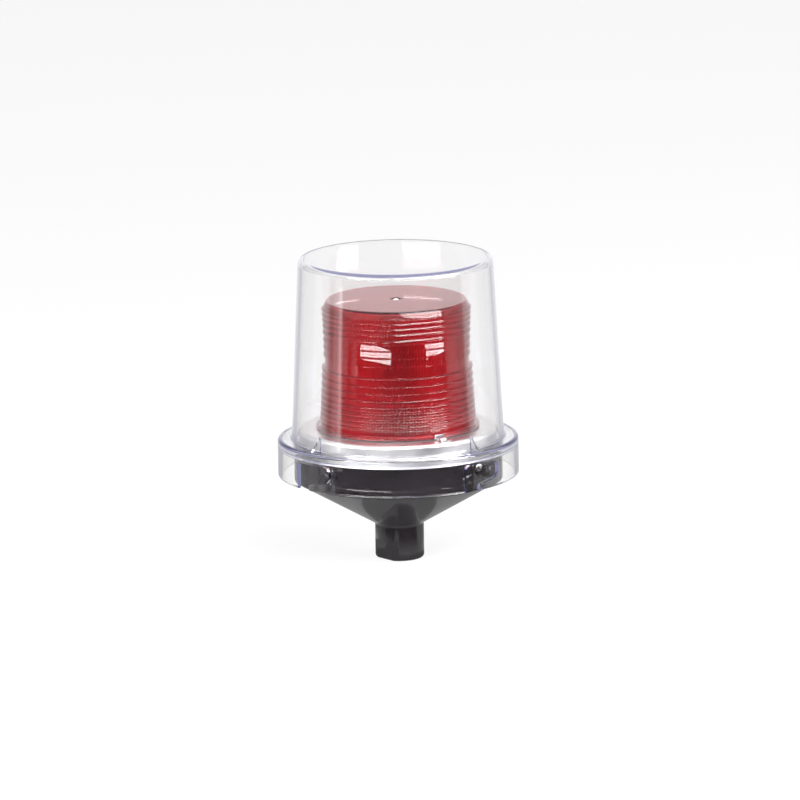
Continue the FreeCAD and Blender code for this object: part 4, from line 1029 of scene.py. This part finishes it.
can_outline = rounded_outline([
    (0, 0.3), (CAN_RADIUS - 2.2, 0.3), (CAN_RADIUS - 1.8, 0, 0.2), (CAN_RADIUS, 0, 1.0),
    (CAN_RADIUS, 3.2, 0.4), (CAN_RADIUS - 1.1, 4.4, 0.5), (CAN_RADIUS, 5.6, 0.4),
    (CAN_RADIUS, CAN_LENGTH, 1.2), (CAN_RADIUS - 2.0, CAN_LENGTH, 0.2),
    (CAN_RADIUS - 2.4, CAN_LENGTH - END_SINK), (0, CAN_LENGTH - END_SINK),
], steps=4)
can = spin_piece("rolled_capacitor", can_outline, steps=72)
cut_cross(can, SCORE_REACH, CAN_LENGTH - SCORE_DEEP, CAN_LENGTH + 1, SCORE_WIDE)
laid = Matrix.Translation(Vector((-CAN_LENGTH / 2, CAN_BACK, HANG_LEVEL - CAN_RADIUS)) * MM)
can.data.transform(laid @ Matrix.Rotation(math.radians(90), 4, "Y"))
smooth(can, 35.0)
finish_piece(can, "base", "capacitor_sleeve", [capacitor_sleeve], "storage_capacitor")

# %% [markdown]
# The floor is a plain pale sheet. For camera and see-through rays it glows
# almost white, so the background is as clean as in the photograph, and a part
# of its real shading is kept, so that the soft shadow stays. In a studio the
# side of the camera is dark. Mirror rays therefore meet a dark sector in
# front, a painted shadow round the hub, and white at the sides and behind.

# %% Dark front of the studio
DARK = 0.03
MORE_SHARE = 0.35
# Each stop is a direction in degrees and the brightness there.
RING = [(-180, 1.0), (-162, 1.0), (-150, 0.7), (-110, 0.7), (-104, 1.0), (-84, 1.0),
        (-80, 0.12), (-77, 0.12), (-73, 0.8), (-67, 0.8), (-63, DARK), (80, DARK),
        (84, 1.0), (104, 1.0), (110, 0.75), (150, 0.75), (162, 1.0), (180, 1.0)]


def studio_ring(tree, x, y):
    """Brightness of the studio by direction, and the distance from the axis.
    x and y are the parts of a place or of a direction. 0 degrees is in front."""
    turn = math_node(tree, "ARCTAN2", x, math_node(tree, "MULTIPLY", y, -1.0))
    share = math_node(tree, "ADD", math_node(tree, "DIVIDE", turn, FULL_TURN), 0.5)
    ring = add_node(tree, "ShaderNodeValToRGB")
    stops = ring.color_ramp.elements
    while len(stops) < len(RING):
        stops.new(0.5)
    for stop, (degrees, value) in zip(stops, RING):
        stop.position = degrees / 360 + 0.5
        stop.color = (value, value, value, 1.0)
    tree.links.new(share, ring.inputs["Fac"])
    square = math_node(tree, "ADD", math_node(tree, "MULTIPLY", x, x),
                       math_node(tree, "MULTIPLY", y, y))
    return ring.outputs["Color"], math_node(tree, "SQRT", square)


def mirrored(tree):
    """How much of the dark front a ray meets: all of it after one reflection,
    a third of it after more, and none before any."""
    path = add_node(tree, "ShaderNodeLightPath")
    once = math_node(tree, "COMPARE", path.outputs["Glossy Depth"], 1.0)
    once.node.inputs[2].default_value = 0.5
    more = math_node(tree, "GREATER_THAN", path.outputs["Glossy Depth"], 1.5)
    return path, math_node(tree, "ADD", once, math_node(tree, "MULTIPLY", more, MORE_SHARE))


def dimmed(tree, amount, level):
    """1 where amount is 0, and level where amount is 1."""
    drop = math_node(tree, "SUBTRACT", 1.0, level)
    return math_node(tree, "SUBTRACT", 1.0, math_node(tree, "MULTIPLY", amount, drop))


def looked_at(tree, path):
    """1 for rays from the camera, a mirror or clear plastic, and 0 for others."""
    seen = math_node(tree, "MAXIMUM", path.outputs["Is Camera Ray"], path.outputs["Is Glossy Ray"])
    return math_node(tree, "MAXIMUM", seen, path.outputs["Is Transmission Ray"])


print("stops round the studio:", len(RING))

# %% [markdown]
# The floor is one large square just under the foot of the light. For mirror
# rays its glow is dimmed in rings: a painted shadow darkens it near the light,
# a sharp painted shadow lies round the hub, and the dark front starts a few
# centimetres away from the axis. Distances here are in metres.

# %% Floor
FLOOR_HALF = 30.0
FLOOR_DROP = 0.0002
FRONT_FROM, FRONT_TO = 0.045, 0.09
# Painted shadow that only mirror rays see: the glow is halved near the light and fades back by 0.6
# m, and it is halved inside a sharp ring round the hub.
SHADOW_RING_FROM, SHADOW_RING_TO = 0.10, 0.60
HUB_SHADOW = 0.034
HUB_SHADOW_EDGE = 0.002
GLOW_SHARE = 0.85

floor_data = bpy.data.meshes.new("floor")
floor_data.from_pydata([(-FLOOR_HALF, -FLOOR_HALF, 0), (FLOOR_HALF, -FLOOR_HALF, 0),
                        (FLOOR_HALF, FLOOR_HALF, 0), (-FLOOR_HALF, FLOOR_HALF, 0)],
                       [], [(0, 1, 2, 3)])
floor = bpy.data.objects.new("floor", floor_data)
bpy.context.scene.collection.objects.link(floor)
floor.location.z = -FLOOR_DROP
floor_finish, tree, shader = new_material("pale_floor", (0.82, 0.82, 0.82), 0.9)
path, bounced = mirrored(tree)
split = add_node(tree, "ShaderNodeSeparateXYZ")
tree.links.new(object_place(tree), split.inputs["Vector"])
ring, distance = studio_ring(tree, split.outputs["X"], split.outputs["Y"])
level = dimmed(tree, spread(tree, distance, 0.0, 1.0, FRONT_FROM, FRONT_TO), ring)
# Painted shade: mirror rays see the floor darker near the light and round the hub, where the
# light's shadow falls.
for start, end in ((SHADOW_RING_FROM, SHADOW_RING_TO), (HUB_SHADOW, HUB_SHADOW + HUB_SHADOW_EDGE)):
    level = math_node(tree, "MULTIPLY", level, spread(tree, distance, 0.5, 1.0, start, end))
glow = add_node(tree, "ShaderNodeEmission")
glow.inputs["Color"].default_value = (1, 1, 1, 1)
tree.links.new(dimmed(tree, bounced, level), glow.inputs["Strength"])
share = math_node(tree, "ADD", GLOW_SHARE, math_node(tree, "MULTIPLY", bounced, 1 - GLOW_SHARE))
mix = add_node(tree, "ShaderNodeMixShader")
tree.links.new(math_node(tree, "MULTIPLY", looked_at(tree, path), share), mix.inputs["Fac"])
tree.links.new(shader.outputs["BSDF"], mix.inputs[1])
tree.links.new(glow.outputs["Emission"], mix.inputs[2])
tree.links.new(mix.outputs["Shader"], tree.nodes["Material Output"].inputs["Surface"])
floor_data.materials.append(floor_finish)
print("floor:", 2 * FLOOR_HALF, "m wide")

# %% [markdown]
# The surroundings are a white room. Rays that light the object meet a dimmer
# white, so colours render as they are written. Mirror rays meet the same dark
# front as on the floor, but only low down: the ceiling is white for them.

# %% World
ROOM_LIGHT = 0.45
CEILING_FROM, CEILING_TO = 0.55, 0.75

world = bpy.data.worlds.new("white_room")
bpy.context.scene.world = world
world.use_nodes = True
tree = world.node_tree
background = tree.nodes["Background"]
path, bounced = mirrored(tree)
where = add_node(tree, "ShaderNodeTexCoord")
split = add_node(tree, "ShaderNodeSeparateXYZ")
tree.links.new(where.outputs["Generated"], split.inputs["Vector"])
ring, _ = studio_ring(tree, split.outputs["X"], split.outputs["Y"])
seen = looked_at(tree, path)
low_down = spread(tree, split.outputs["Z"], 1.0, 0.0, CEILING_FROM, CEILING_TO)
front = math_node(tree, "MULTIPLY", bounced, low_down)
strength = math_node(tree, "MULTIPLY", seen, dimmed(tree, front, ring))
unseen = math_node(tree, "MULTIPLY", math_node(tree, "SUBTRACT", 1.0, seen), ROOM_LIGHT)
background.inputs["Color"].default_value = (1, 1, 1, 1)
tree.links.new(math_node(tree, "ADD", strength, unseen), background.inputs["Strength"])
print("world: white room with a dark front")

# %% [markdown]
# Five lamps shape the object. Two soft boxes in front leave the window-like
# highlights on the ribs, a long one above and to the right draws the bright
# lines on the upper ribs, and a small one high up lights rims and edges. A
# narrow strip low on the left is mirrored as one upright streak on the bell.

# %% Lamps
LAMP_TARGET = Vector((0, 0, 0.14))


def soft_box(name, azimuth, elevation, distance, size, power):
    lamp_data = bpy.data.lights.new(name, "AREA")
    lamp_data.shape = "RECTANGLE"
    lamp_data.size, lamp_data.size_y = size
    lamp_data.energy = power
    lamp = bpy.data.objects.new(name, lamp_data)
    bpy.context.scene.collection.objects.link(lamp)
    rise = math.radians(elevation)
    turn = math.radians(azimuth)
    direction = Vector((math.sin(turn) * math.cos(rise), -math.cos(turn) * math.cos(rise),
                        math.sin(rise)))
    lamp.location = LAMP_TARGET + direction * distance
    lamp.rotation_euler = (-direction).to_track_quat("-Z", "Y").to_euler()
    return lamp


# Each lamp has an azimuth, an elevation, a distance in metres, a width and a
# height in metres, and a power in watts.
soft_box("left_box", -34.0, 20.5, 2.0, (1.75, 0.42), 57.0)
soft_box("right_box", 63.0, 20.5, 2.0, (1.1, 0.42), 37.0)
soft_box("top_box", 42.0, 47.5, 2.0, (2.6, 0.55), 44.0)
soft_box("rim_box", 45.0, 72.0, 1.2, (1.2, 0.35), 3.0)
streak = soft_box("streak_box", -64.5, -6.0, 0.7, (0.05, 0.13), 0.034)
streak.visible_camera = False
bpy.context.scene.view_settings.view_transform = "Standard"
print("lamps: left, right, top, rim and streak")

# %% [markdown]

# %% End of the scene
print("scene done")
